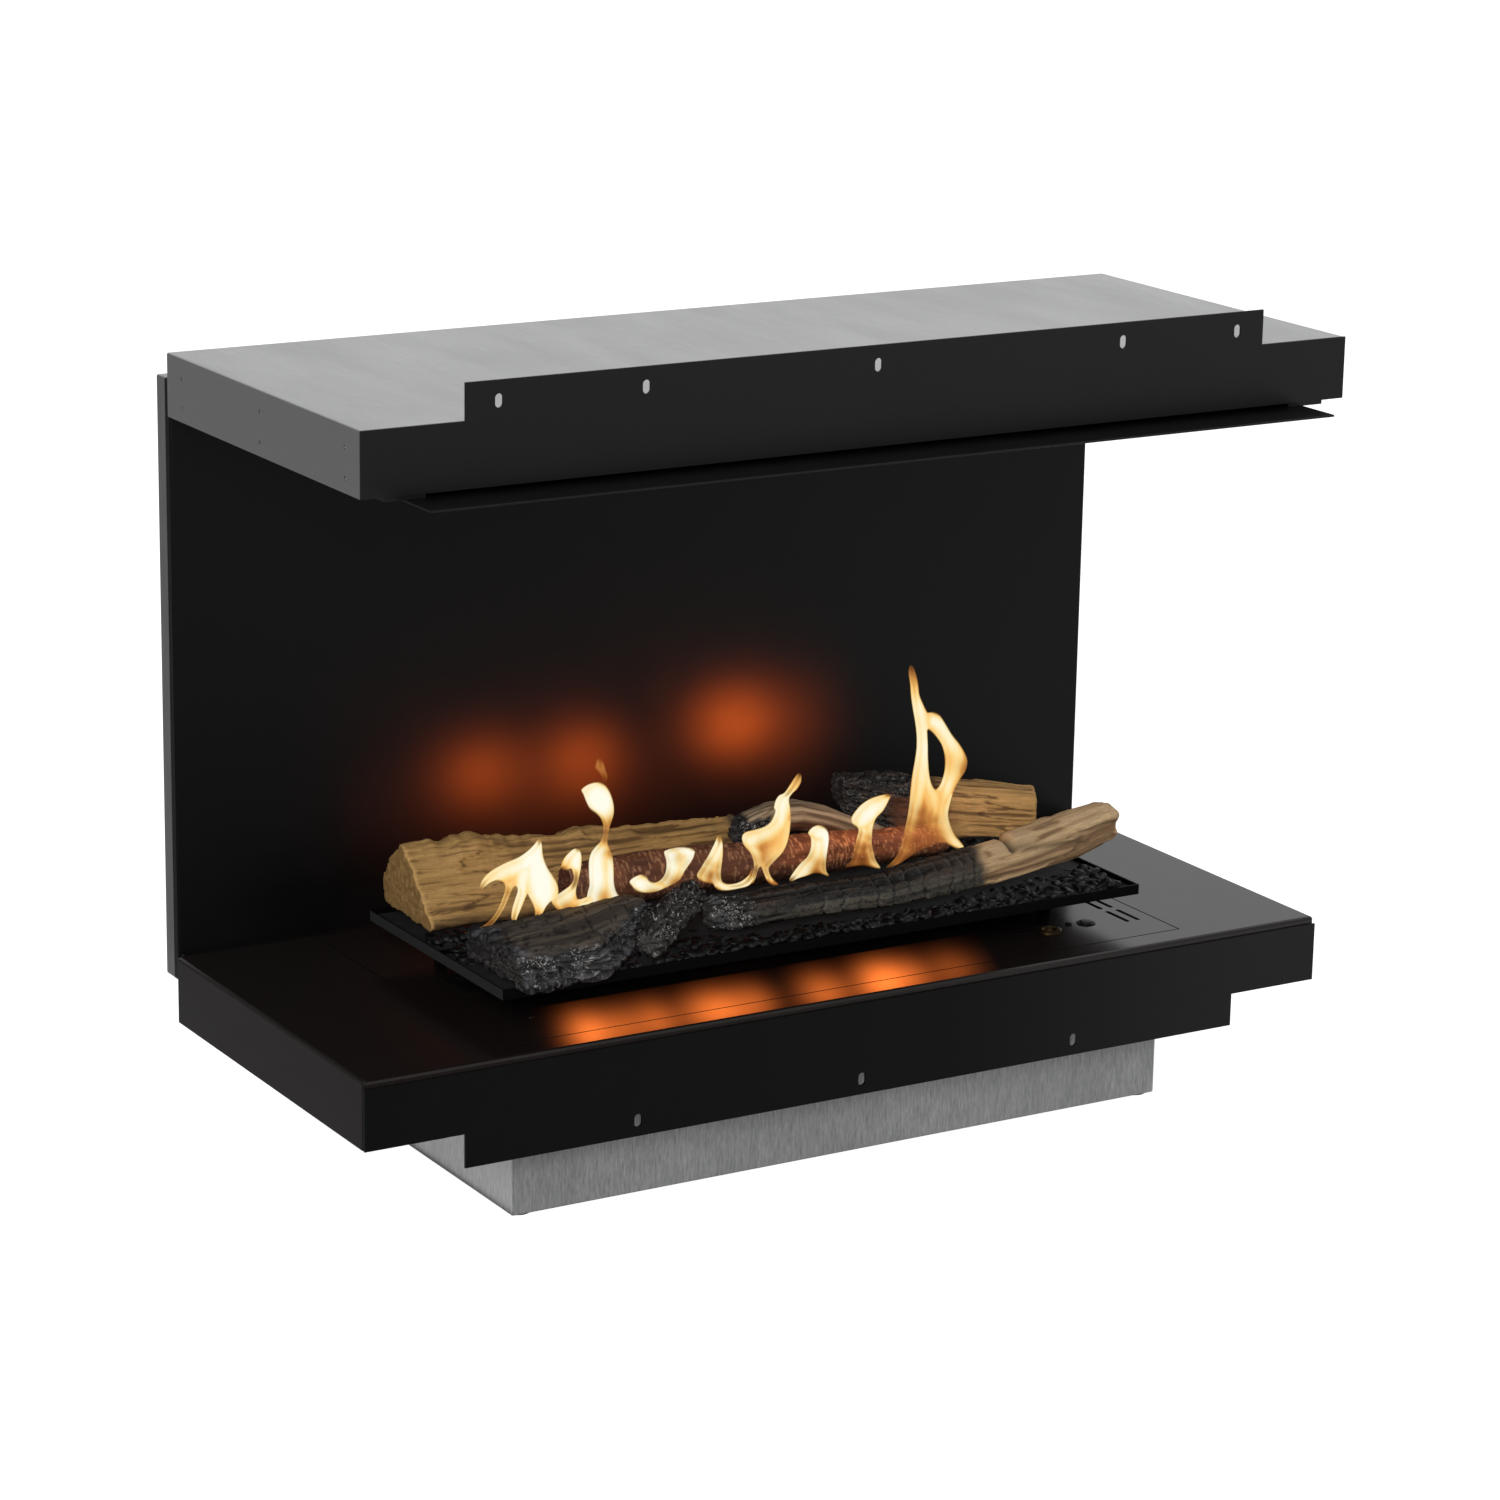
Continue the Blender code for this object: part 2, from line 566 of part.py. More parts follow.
board = box("control_board", (0.160, 0.330), (CENTRE_Y + 0.040, CENTRE_Y + 0.140),
            (0.0200, 0.0216), BOARD_GREEN)
for k, (x, y, w, d, h) in enumerate((
    (0.185, 0.060, 0.030, 0.024, 0.014), (0.240, 0.070, 0.040, 0.040, 0.004),
    (0.300, 0.060, 0.022, 0.020, 0.018), (0.205, 0.115, 0.036, 0.014, 0.012),
    (0.290, 0.115, 0.050, 0.012, 0.010),
)):
    boolean(board, box(f"board_component_{k}", (x - w / 2, x + w / 2),
                       (CENTRE_Y + y - d / 2, CENTRE_Y + y + d / 2), (0.0212, 0.0216 + h),
                       helper=True), "UNION")
for k, (x, y) in enumerate(((0.168, 0.048), (0.322, 0.048), (0.168, 0.132), (0.322, 0.132))):
    boolean(board, cylinder(f"board_post_{k}", (x, CENTRE_Y + y, (0.0212 + FOOT_H + GALV_T + GAP) / 2),
                            0.0035, 0.0212 - FOOT_H - GALV_T - GAP, segments=8, helper=True), "UNION")

# A two-pin appliance inlet, set in the housing's rear wall, open to the rear.
inlet_socket = box("power_inlet", (POWER[0] - 0.0140, POWER[0] + 0.0140),
                   (house_y1 - 0.024, house_y1 + 0.0005), (POWER[2] - 0.0100, POWER[2] + 0.0100),
                   BLACK_PLASTIC)
boolean(inlet_socket, box("power_inlet_flange", (POWER[0] - 0.019, POWER[0] + 0.019),
                          (house_y1 + GAP, house_y1 + 0.0022), (POWER[2] - 0.014, POWER[2] + 0.014),
                          helper=True), "UNION")
cut_box(inlet_socket, (POWER[0] - 0.0100, POWER[0] + 0.0100), (house_y1 - 0.016, house_y1 + 0.010),
        (POWER[2] - 0.0055, POWER[2] + 0.0055))

fan_x, fan_y, fan_z = FAN
fan = box("fan_frame", (fan_x - 0.030, fan_x + 0.030), (fan_y - 0.030, fan_y + 0.030),
          (fan_z - 0.0075, fan_z + 0.0075), BLACK_PLASTIC, bevel=0.002)
boolean(fan, cylinder("cut_fan_bore", FAN, 0.0275, 0.03, segments=32, helper=True))
# Three arms under the impeller carry the motor's seat.
for k in range(3):
    arm = box(f"fan_arm_{k}", (0.0, 0.0290), (-0.0020, 0.0020), (-0.0075, -0.0055), helper=True)
    arm.data.transform(Matrix.Translation((0.0145, 0, 0)))
    arm.location = (fan_x, fan_y, fan_z - 0.0065)
    arm.rotation_euler = (0, 0, math.radians(30 + 120 * k))
    boolean(fan, arm, "UNION")
boolean(fan, cylinder("fan_seat", (fan_x, fan_y, fan_z - 0.0065), 0.0105, 0.0020, segments=24,
                      helper=True), "UNION")

impeller = cylinder("fan_impeller", (fan_x, fan_y, fan_z + 0.0010), 0.0110, 0.0110, segments=24,
                    mat=BLACK_PLASTIC)
for k in range(7):
    blade = box(f"fan_blade_{k}", (0.0085, 0.0255), (-0.0055, 0.0055), (-0.0004, 0.0004), helper=True)
    blade.location = (fan_x, fan_y, fan_z + 0.0010)
    blade.data.transform(Matrix.Translation((0.0170, 0, 0)))
    blade.rotation_euler = (math.radians(35), 0, math.tau * k / 7)
    boolean(impeller, blade, "UNION")

# ----------------------------------------------------------------------------
# Log tray
# ----------------------------------------------------------------------------
tray = box("log_tray", (-TRAY_X, TRAY_X), (TRAY_Y0, TRAY_Y1), (TRAY_Z0, TRAY_Z1), BLACK_PAINT)
TRAY_T = 0.0015
pocket = box("tray_pocket", (-TRAY_X + TRAY_T, TRAY_X - TRAY_T), (TRAY_Y0 + TRAY_T, TRAY_Y1 - TRAY_T),
             (TRAY_Z0 + TRAY_T, TRAY_Z1 + 0.01), helper=True)
cut_box(pocket, (SLIT_X0 - TRAY_T, SLIT_X1 + TRAY_T), (SLIT_Y0 - TRAY_T, SLIT_Y1 + TRAY_T),
        (TRAY_Z0 - 0.01, TRAY_Z1 + 0.02))
boolean(tray, pocket)
cut_box(tray, (SLIT_X0, SLIT_X1), (SLIT_Y0, SLIT_Y1), (TRAY_Z0 - 0.01, TRAY_Z1 + 0.01))

for side, x in (("left", -0.285), ("right", 0.285)):
    for end, y in (("front", TRAY_Y0 + 0.078), ("rear", TRAY_Y1 - 0.040)):
        turned(
            f"tray_post_{end}_{side}",
            [(0, TRAY_Z0 - GAP), (0.0060, TRAY_Z0 - GAP), (0.0060, HEARTH_Z + 0.0010),
             (0.0054, HEARTH_Z + GAP), (0, HEARTH_Z + GAP)],
            (x, y, 0), BLACK_PAINT, steps=16,
        )


def ember_bed(name, x, y, columns, rows):
    """A bed of gravel as one block, sliced into a grid whose top is heaped towards
    the middle and lumpy."""
    z0 = TRAY_Z0 + TRAY_T + GAP
    obj = box(name, x, y, (z0, z0 + 0.006), EMBERS)
    bm = bmesh.new()
    bm.from_mesh(obj.data)
    for axis, count, span in ((0, columns, x[1] - x[0]), (1, rows, y[1] - y[0])):
        for k in range(1, count):
            point, normal = Vector((0, 0, 0)), Vector((0, 0, 0))
            point[axis] = span * (k / count - 0.5)
            normal[axis] = 1.0
            bmesh.ops.bisect_plane(bm, geom=bm.verts[:] + bm.edges[:] + bm.faces[:],
                                   plane_co=point, plane_no=normal, dist=1e-6)
    cx, cy, cz = obj.location
    for vert in bm.verts:
        if vert.co.z > 0:
            wx, wy = vert.co.x + cx, vert.co.y + cy
            inset = min(TRAY_X - abs(wx), wy - TRAY_Y0, TRAY_Y1 - wy,
                        0.030 + max(SLIT_X0 - wx, wx - SLIT_X1, SLIT_Y0 - wy, wy - SLIT_Y1, 0) * 2)
            heap = min(1.0, inset / 0.035)
            lump = noise.noise(Vector((wx * 70, wy * 70, 3.7)))
            vert.co.z = TRAY_BASE + 0.0316 + 0.0050 * heap + 0.0014 * lump - cz
    bm.to_mesh(obj.data)
    bm.free()
    return obj


ember_bed("ember_bed_front", (-TRAY_X + TRAY_T + GAP, TRAY_X - TRAY_T - GAP),
          (TRAY_Y0 + TRAY_T + GAP, SLIT_Y0 - TRAY_T - GAP), 20, 4)
ember_bed("ember_bed_rear", (-TRAY_X + TRAY_T + GAP, TRAY_X - TRAY_T - GAP),
          (SLIT_Y1 + TRAY_T + GAP, TRAY_Y1 - TRAY_T - GAP), 20, 4)


# ----------------------------------------------------------------------------
# Ceramic logs
# ----------------------------------------------------------------------------
def section_radius(outline, angle):
    """Distance from the origin to a closed outline in the given direction."""
    d = Vector((math.cos(angle), math.sin(angle)))
    best = 0.0
    for a, b in zip(outline, outline[1:] + outline[:1]):
        a, b = Vector(a), Vector(b)
        edge = b - a
        cross = d.x * edge.y - d.y * edge.x
        if abs(cross) < 1e-12:
            continue
        along = (a.x * edge.y - a.y * edge.x) / cross
        where = (a.x * d.y - a.y * d.x) / cross
        if along > 0 and -1e-9 <= where <= 1 + 1e-9:
            best = max(best, along)
    return best


ROUND = [(math.cos(math.tau * k / 12), math.sin(math.tau * k / 12)) for k in range(12)]


def along_path(path, t):
    """Point and size at t of a list of (x, y, z, half_width, half_height)."""
    place = t * (len(path) - 1)
    i = min(int(place), len(path) - 2)
    f = place - i
    f = f * f * (3 - 2 * f) * 0.35 + f * 0.65
    return [a + (b - a) * f for a, b in zip(path[i], path[i + 1])]


def log(name, path, outline, mat, seed, rings=9, sides=12, rough=0.07):
    """A length of wood: a cylinder ringed along its length, drawn out along its
    path and pressed to its section, with an uneven surface. x, y are measured
    from the front fascia's plane and z from the hearth, as the path gives them."""
    bm = bmesh.new()
    bmesh.ops.create_cone(bm, cap_ends=True, segments=sides, radius1=1.0, radius2=1.0, depth=1.0)
    long_edges = [e for e in bm.edges if abs(e.verts[0].co.z - e.verts[1].co.z) > 0.5]
    bmesh.ops.subdivide_edges(bm, edges=long_edges, cuts=rings)
    middle = along_path(path, 0.5)
    origin = Vector((middle[0], middle[1] + FRONT, middle[2] + TRAY_BASE))
    for vert in bm.verts:
        t = min(max(vert.co.z + 0.5, 0.0), 1.0)
        angle = math.atan2(vert.co.y, vert.co.x)
        x, y, z, wide, high = along_path(path, t)
        ahead = along_path(path, min(t + 0.03, 1.0))
        behind = along_path(path, max(t - 0.03, 0.0))
        forward = Vector((ahead[0] - behind[0], ahead[1] - behind[1], 0)).normalized()
        side = Vector((-forward.y, forward.x, 0))
        radius = section_radius(outline, angle)
        radius *= 1 + rough * noise.noise(Vector((math.cos(angle) * 1.3, math.sin(angle) * 1.3, t * 6 + seed)))
        offset = side * (radius * math.cos(angle) * wide) + Vector((0, 0, radius * math.sin(angle) * high))
        vert.co = Vector((x, y + FRONT, z + TRAY_BASE)) + offset - origin
    return put(name, mesh_from(bm, name), origin, mat)


# Split sections, as (sideways, up) with the path's direction away from the viewer:
# sideways is towards the rear of the casing for a path that runs left to right.
QUARTER = [(-1.0, -1.0), (-0.1, -1.0), (0.95, -0.92), (1.02, -0.3), (0.72, 0.55), (0.30, 1.0), (0.05, 0.95)]
SLAB = [(-1.0, -1.0), (0.6, -1.0), (1.0, -0.6), (0.9, 0.6), (0.3, 1.0), (-0.6, 0.8), (-0.95, 0.2)]
BLOCK = [(-1.0, -0.7), (-0.2, -1.0), (0.9, -0.9), (1.0, 0.2), (0.75, 0.9), (-0.1, 1.0), (-0.9, 0.6)]
WEDGE = [(-1.0, -1.0), (0.9, -0.9), (1.0, 0.2), (0.75, 0.9), (-0.1, 1.0), (-0.85, 0.75)]

log("log_rear_left",
    [(-0.322, 0.2755, 0.0735, 0.0465, 0.0335), (-0.230, 0.2780, 0.0700, 0.0450, 0.0300),
     (-0.110, 0.2845, 0.0665, 0.0385, 0.0265), (0.000, 0.2990, 0.0635, 0.0245, 0.0235),
     (0.040, 0.3030, 0.0625, 0.0190, 0.0220)],
    QUARTER, LOG_TAN, 1.0)
log("log_centre",
    [(-0.192, 0.2165, 0.0650, 0.0165, 0.0235), (-0.100, 0.2165, 0.0650, 0.0175, 0.0240),
     (0.020, 0.2165, 0.0610, 0.0175, 0.0205), (0.140, 0.2165, 0.0580, 0.0170, 0.0175),
     (0.222, 0.2180, 0.0560, 0.0150, 0.0155)],
    ROUND, LOG_CHAR, 12.0)
log("log_arched",
    [(0.012, 0.2590, 0.0790, 0.0140, 0.0145), (0.049, 0.2600, 0.0885, 0.0160, 0.0155),
     (0.080, 0.2600, 0.0870, 0.0160, 0.0155), (0.110, 0.2590, 0.0780, 0.0150, 0.0150),
     (0.140, 0.2580, 0.0650, 0.0140, 0.0140), (0.178, 0.2560, 0.0520, 0.0115, 0.0115)],
    ROUND, LOG_GREY, 23.0)
log("log_rear_right",
    [(0.158, 0.3120, 0.0875, 0.0205, 0.0170), (0.212, 0.3000, 0.0712, 0.0230, 0.0285),
     (0.280, 0.2765, 0.0645, 0.0230, 0.0250), (0.342, 0.2460, 0.0612, 0.0205, 0.0220)],
    WEDGE, LOG_TAN, 34.0)
log("log_front",
    [(-0.101, 0.1160, 0.0550, 0.0150, 0.0150), (-0.060, 0.1085, 0.0550, 0.0170, 0.0150),
     (0.010, 0.1115, 0.0555, 0.0175, 0.0150), (0.078, 0.1045, 0.0555, 0.0180, 0.0155),
     (0.163, 0.1140, 0.0580, 0.0195, 0.0175), (0.235, 0.1275, 0.0595, 0.0200, 0.0185),
     (0.320, 0.1490, 0.0630, 0.0190, 0.0200), (0.368, 0.1630, 0.0660, 0.0165, 0.0175)],
    BLOCK, LOG_CHAR, 45.0, rings=14)
log("log_front_left",
    [(-0.328, 0.0960, 0.0560, 0.0540, 0.0160), (-0.265, 0.1000, 0.0570, 0.0570, 0.0165),
     (-0.205, 0.1310, 0.0570, 0.0365, 0.0165), (-0.145, 0.1640, 0.0550, 0.0150, 0.0140)],
    SLAB, LOG_CHAR, 56.0)
log("log_cross",
    [(-0.189, 0.0690, 0.0545, 0.0145, 0.0145), (-0.153, 0.1060, 0.0560, 0.0160, 0.0155),
     (-0.120, 0.1380, 0.0570, 0.0155, 0.0155), (-0.088, 0.1640, 0.0590, 0.0145, 0.0145)],
    ROUND, LOG_CHAR, 67.0)
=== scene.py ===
"""A built-in fireplace with three open sides, alight, on a pale studio floor."""

import math

import bmesh
import bpy
import numpy as np
from mathutils import Matrix, Vector, noise


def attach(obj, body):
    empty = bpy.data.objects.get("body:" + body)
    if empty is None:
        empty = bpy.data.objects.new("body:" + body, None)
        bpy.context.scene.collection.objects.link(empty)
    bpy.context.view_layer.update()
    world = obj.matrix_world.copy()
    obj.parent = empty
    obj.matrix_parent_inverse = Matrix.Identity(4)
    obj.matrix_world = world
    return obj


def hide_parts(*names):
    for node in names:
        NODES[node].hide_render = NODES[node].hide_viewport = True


scene = bpy.context.scene
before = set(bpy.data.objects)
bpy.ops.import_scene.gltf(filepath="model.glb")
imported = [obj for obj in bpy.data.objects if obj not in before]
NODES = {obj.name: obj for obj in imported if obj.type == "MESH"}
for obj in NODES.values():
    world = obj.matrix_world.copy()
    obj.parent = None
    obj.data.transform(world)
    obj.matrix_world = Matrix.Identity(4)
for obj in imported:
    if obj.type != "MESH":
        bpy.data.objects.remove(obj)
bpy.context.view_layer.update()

FRONT = -0.191      # the fascias' front plane
HEARTH = 0.164      # top of the hearth
FLAME_Y = 0.003     # middle of the burner's slit

scene.view_settings.view_transform = "Standard"
scene.view_settings.look = "None"
scene.cycles.use_denoising = True


def srgb(r, g, b):
    """An sRGB colour of 0-255 as linear light."""
    def one(c):
        c /= 255
        return c / 12.92 if c <= 0.04045 else ((c + 0.055) / 1.055) ** 2.4
    return (one(r), one(g), one(b))


# ------------------------------------------------------------------ camera
PHOTO = 1500                      # the view's side, for places given in it
FOCAL = 4563.0
EYE = Vector((-2.0886, -3.4559, 1.4525))
AIM = Vector((-0.0142, -0.0010, 0.3434))
ROLL = math.radians(1.01)

forward = (AIM - EYE).normalized()
right0 = forward.cross(Vector((0, 0, 1))).normalized()
up0 = right0.cross(forward)
RIGHT = right0 * math.cos(ROLL) + up0 * math.sin(ROLL)
UP = up0 * math.cos(ROLL) - right0 * math.sin(ROLL)

cam_data = bpy.data.cameras.new("camera")
cam_data.sensor_width = 36.0
cam_data.lens = FOCAL / PHOTO * 36.0
cam_data.clip_start, cam_data.clip_end = 0.05, 100.0
camera = bpy.data.objects.new("camera", cam_data)
scene.collection.objects.link(camera)
camera.matrix_world = Matrix((
    (RIGHT.x, UP.x, -forward.x, EYE.x),
    (RIGHT.y, UP.y, -forward.y, EYE.y),
    (RIGHT.z, UP.z, -forward.z, EYE.z),
    (0, 0, 0, 1)))
scene.camera = camera


def on_plane(u, v, y):
    """Points (x, z) of the upright plane at y that are seen at places u, v of the view."""
    d = (np.array(forward)[None] * FOCAL + np.array(RIGHT)[None] * (np.asarray(u, float) - 750)[:, None]
         - np.array(UP)[None] * (np.asarray(v, float) - 750)[:, None])
    k = (np.asarray(y, float) - EYE.y) / d[:, 1]
    return EYE.x + d[:, 0] * k, EYE.z + d[:, 2] * k


# ------------------------------------------------------------------ noise on arrays
def _cell(i, j, k, seed):
    n = (i * 374761393 + j * 668265263 + k * 1440662683 + seed * 1274126177) & 0xFFFFFFFF
    n = ((n ^ (n >> 13)) * 1274126177) & 0xFFFFFFFF
    n = ((n ^ (n >> 16)) * 2246822519) & 0xFFFFFFFF
    n ^= n >> 15
    return (n & 0xFFFFFF).astype(float) / 0xFFFFFF


def lumps(x, y, z, seed=0):
    """Smooth noise in -1..1 with features one unit wide."""
    x, y, z = np.broadcast_arrays(*(np.asarray(c, float) for c in (x, y, z)))
    i, j, k = (np.floor(c).astype(np.int64) for c in (x, y, z))
    fx, fy, fz = x - i, y - j, z - k
    fx, fy, fz = (f * f * f * (f * (f * 6 - 15) + 10) for f in (fx, fy, fz))
    total = 0
    for a in (0, 1):
        for b in (0, 1):
            for c in (0, 1):
                w = (fx if a else 1 - fx) * (fy if b else 1 - fy) * (fz if c else 1 - fz)
                total = total + w * _cell(i + a, j + b, k + c, seed)
    return total * 2 - 1


def layers(x, y, z, seed=0, octaves=4, gain=0.5):
    total, amp, norm = 0, 1.0, 0.0
    for o in range(octaves):
        f = 2.03 ** o
        total = total + amp * lumps(np.asarray(x) * f, np.asarray(y) * f, np.asarray(z) * f, seed + 17 * o)
        norm += amp
        amp *= gain
    return total / norm


def scales(u, v, seed=0, around=None, jitter=0.85):
    """Distances to the nearest and second nearest of scattered points, one in each unit cell; v repeats after `around` cells. Also a number of 0-1 for the nearest one."""
    u, v = np.broadcast_arrays(np.asarray(u, float), np.asarray(v, float))
    i, j = np.floor(u).astype(np.int64), np.floor(v).astype(np.int64)
    d1 = np.full(u.shape, 9.0)
    d2 = np.full(u.shape, 9.0)
    who = np.zeros(u.shape)
    for a in (-1, 0, 1):
        for b in (-1, 0, 1):
            ci, cj = i + a, j + b
            cjw = np.mod(cj, around) if around else cj
            px = ci + 0.5 + (_cell(ci, cjw, cjw * 0, seed) - 0.5) * jitter
            py = cj + 0.5 + (_cell(ci, cjw, cjw * 0, seed + 5) - 0.5) * jitter
            d = np.hypot(u - px, v - py)
            tag = _cell(ci, cjw, cjw * 0, seed + 9)
            nearer = d < d1
            d2 = np.where(nearer, d1, np.minimum(d2, d))
            who = np.where(nearer, tag, who)
            d1 = np.where(nearer, d, d1)
    return d1, d2, who


def step(a, b, x):
    t = np.clip((np.asarray(x, float) - a) / (b - a), 0, 1)
    return t * t * (3 - 2 * t)


def blend(a, b, f):
    """Between colours a and b (each three numbers or an array of them) by f."""
    a, b = np.asarray(a, float), np.asarray(b, float)
    return a + (b - a) * np.asarray(f, float)[..., None]


# ------------------------------------------------------------------ materials
class Graph:
    """A material's node tree, with short helpers."""

    def __init__(self, name):
        self.mat = bpy.data.materials.new(name)
        self.mat.use_nodes = True
        self.t = self.mat.node_tree
        self.t.nodes.clear()
        self.out = self.t.nodes.new("ShaderNodeOutputMaterial")

    def node(self, kind, **values):
        n = self.t.nodes.new(kind)
        for k, v in values.items():
            setattr(n, k, v)
        return n

    def link(self, a, b):
        self.t.links.new(a, b)

    def put(self, socket, value):
        if hasattr(value, "is_output") or isinstance(value, bpy.types.NodeSocket):
            self.link(value, socket)
        else:
            socket.default_value = value

    def math(self, op, a, b=0.0, clamp=False):
        n = self.node("ShaderNodeMath", operation=op, use_clamp=clamp)
        self.put(n.inputs[0], a)
        self.put(n.inputs[1], b)
        return n.outputs[0]

    def place(self, scale=(1, 1, 1), source=None):
        """Object coordinates in metres, times scale."""
        if source is None:
            source = self.node("ShaderNodeTexCoord").outputs["Object"]
        m = self.node("ShaderNodeMapping")
        m.inputs["Scale"].default_value = scale
        self.link(source, m.inputs["Vector"])
        return m.outputs[0]

    def noise(self, vector, scale=1.0, detail=3.0, rough=0.55, distort=0.0):
        n = self.node("ShaderNodeTexNoise")
        self.link(vector, n.inputs["Vector"])
        n.inputs["Scale"].default_value = scale
        n.inputs["Detail"].default_value = detail
        n.inputs["Roughness"].default_value = rough
        n.inputs["Distortion"].default_value = distort
        return n.outputs[0]

    def remap(self, value, a, b, c, d, smooth=False):
        n = self.node("ShaderNodeMapRange", interpolation_type="SMOOTHSTEP" if smooth else "LINEAR")
        self.link(value, n.inputs["Value"])
        for s, v in zip(("From Min", "From Max", "To Min", "To Max"), (a, b, c, d)):
            n.inputs[s].default_value = v
        return n.outputs[0]

    def mix(self, factor, a, b, kind="MIX"):
        n = self.node("ShaderNodeMix", data_type="RGBA", blend_type=kind)
        self.put(n.inputs[0], factor)
        self.put(n.inputs[6], a if not isinstance(a, tuple) else (*a, 1))
        self.put(n.inputs[7], b if not isinstance(b, tuple) else (*b, 1))
        return n.outputs[2]

    def bump(self, height, distance, strength=1.0, under=None):
        n = self.node("ShaderNodeBump")
        n.inputs["Strength"].default_value = strength
        n.inputs["Distance"].default_value = distance
        self.link(height, n.inputs["Height"])
        if under is not None:
            self.link(under, n.inputs["Normal"])
        return n.outputs[0]

    def surface(self, colour, roughness, metallic=0.0, normal=None, ior=1.5, **more):
        p = self.node("ShaderNodeBsdfPrincipled")
        if isinstance(colour, tuple):
            p.inputs["Base Color"].default_value = (*colour, 1)
        else:
            self.link(colour, p.inputs["Base Color"])
        self.put(p.inputs["Roughness"], roughness)
        p.inputs["Metallic"].default_value = metallic
        p.inputs["IOR"].default_value = ior
        for k, v in more.items():
            self.put(p.inputs[k.replace("_", " ")], v)
        if normal is not None:
            self.link(normal, p.inputs["Normal"])
        self.link(p.outputs[0], self.out.inputs[0])
        return self.mat


def brushed(name, scale, colour, rough, spread=0.10, fine=2.2, clouds=(9, 9, 9), drift=0.03, metallic=1.0, flat=False):
    """Sheet metal with fine short streaks; scale sets how they are drawn out along each axis.
    clouds and drift give the broad patches; flat keeps the streaks to the level faces."""
    g = Graph(name)
    at = g.place(scale)
    streak = g.noise(at, 1.0, 3.0, 0.65)
    short = g.noise(g.place(tuple(s * fine for s in scale)), 1.0, 2.0, 0.6)
    cloud = g.noise(g.place(clouds), 1.0, 2.0, 0.5)
    both = g.math("ADD", g.math("MULTIPLY", streak, 0.6), g.math("MULTIPLY", short, 0.4))
    tone = g.remap(both, 0.25, 0.75, 1 - spread * 1.6, 1 + spread)
    tone = g.math("MULTIPLY", tone, g.remap(cloud, 0.3, 0.7, 1 - drift, 1 + drift))
    if flat:
        parts = g.node("ShaderNodeSeparateXYZ")
        g.link(g.node("ShaderNodeNewGeometry").outputs["Normal"], parts.inputs[0])
        level = g.remap(g.math("ABSOLUTE", parts.outputs[2], 0.0), 0.2, 0.8, 0.12, 1.0)
        tone = g.math("ADD", g.math("MULTIPLY", g.math("SUBTRACT", tone, 1.0), level), 1.0)
    colour_out = g.node("ShaderNodeVectorMath", operation="SCALE")
    colour_out.inputs[0].default_value = colour
    g.link(tone, colour_out.inputs["Scale"])
    r = g.remap(both, 0.3, 0.7, rough - 0.05, rough + 0.06)
    return g.surface(colour_out.outputs[0], r, metallic, g.bump(both, 0.00008 if flat else 0.00012, 0.35))


def painted(name, colour, rough, peel=0.00005, grain=900.0, vary=0.04, ior=1.5, along=None, side=None):
    """Black paint on sheet metal: a fine orange peel, and faint wiped patches in its gloss.
    along scales its colour from one x to another, up to a factor: a painted reflection; side gives a factor for faces
    that look to the left, at the left end only: a painted sheen."""
    g = Graph(name)
    fine = g.noise(g.place((grain, grain, grain)), 1.0, 2.0, 0.5)
    soft = g.noise(g.place((14, 14, 14)), 1.0, 3.0, 0.6, 0.4)
    grit = g.noise(g.place((2600, 2600, 2600)), 1.0, 1.0, 0.5)
    r = g.math("ADD", g.remap(soft, 0.3, 0.7, rough - vary, rough + vary), g.remap(fine, 0.3, 0.7, -0.015, 0.015))
    k = g.remap(grit, 0.35, 0.75, 0.8, 1.5)
    if along or side:
        here = g.node("ShaderNodeNewGeometry")
        spot, facing = g.node("ShaderNodeSeparateXYZ"), g.node("ShaderNodeSeparateXYZ")
        g.link(here.outputs["Position"], spot.inputs[0])
        g.link(here.outputs["Normal"], facing.inputs[0])
        # painted reflection: the colour grows lighter along x
        if along:
            k = g.math("MULTIPLY", k, g.remap(spot.outputs[0], along[0], along[1], 1.0, along[2], True))
        # painted sheen: faces that look to the left, at the left end, are made lighter by the factor side
        if side:
            left = g.math("MULTIPLY", g.remap(facing.outputs[0], -0.9, -0.6, 1.0, 0.0), g.remap(spot.outputs[0], -0.25, -0.20, 1.0, 0.0))
            k = g.math("MULTIPLY", k, g.math("ADD", g.math("MULTIPLY", left, side - 1.0), 1.0))
    shade = g.node("ShaderNodeVectorMath", operation="SCALE")
    shade.inputs[0].default_value = colour
    g.link(k, shade.inputs["Scale"])
    return g.surface(shade.outputs[0], r, 0.0, g.bump(fine, peel, 0.6), ior)


def metal(name, colour, rough, grain=(400, 400, 60)):
    g = Graph(name)
    n = g.noise(g.place(grain), 1.0, 3.0, 0.6)
    stain = g.noise(g.place((60, 60, 60)), 1.0, 3.0, 0.6)
    c = g.mix(g.remap(stain, 0.35, 0.75, 0.0, 0.5), colour, tuple(x * 0.6 for x in colour))
    return g.surface(c, g.remap(n, 0.3, 0.7, rough - 0.06, rough + 0.08), 1.0, g.bump(n, 0.00006, 0.4))


def plain(name, colour, rough, second=None, grain=500.0, depth=0.00006, **more):
    """A moulded, glazed or printed surface: a little mottling and a fine texture."""
    g = Graph(name)
    n = g.noise(g.place((grain,) * 3), 1.0, 3.0, 0.6)
    patch = g.noise(g.place((45, 45, 45)), 1.0, 3.0, 0.55)
    c = g.mix(g.remap(patch, 0.35, 0.7, 0.0, 1.0), colour, second or tuple(x * 0.75 for x in colour))
    return g.surface(c, g.remap(n, 0.3, 0.7, max(rough - 0.05, 0.02), rough + 0.06), 0.0, g.bump(n, depth, 0.5), **more)


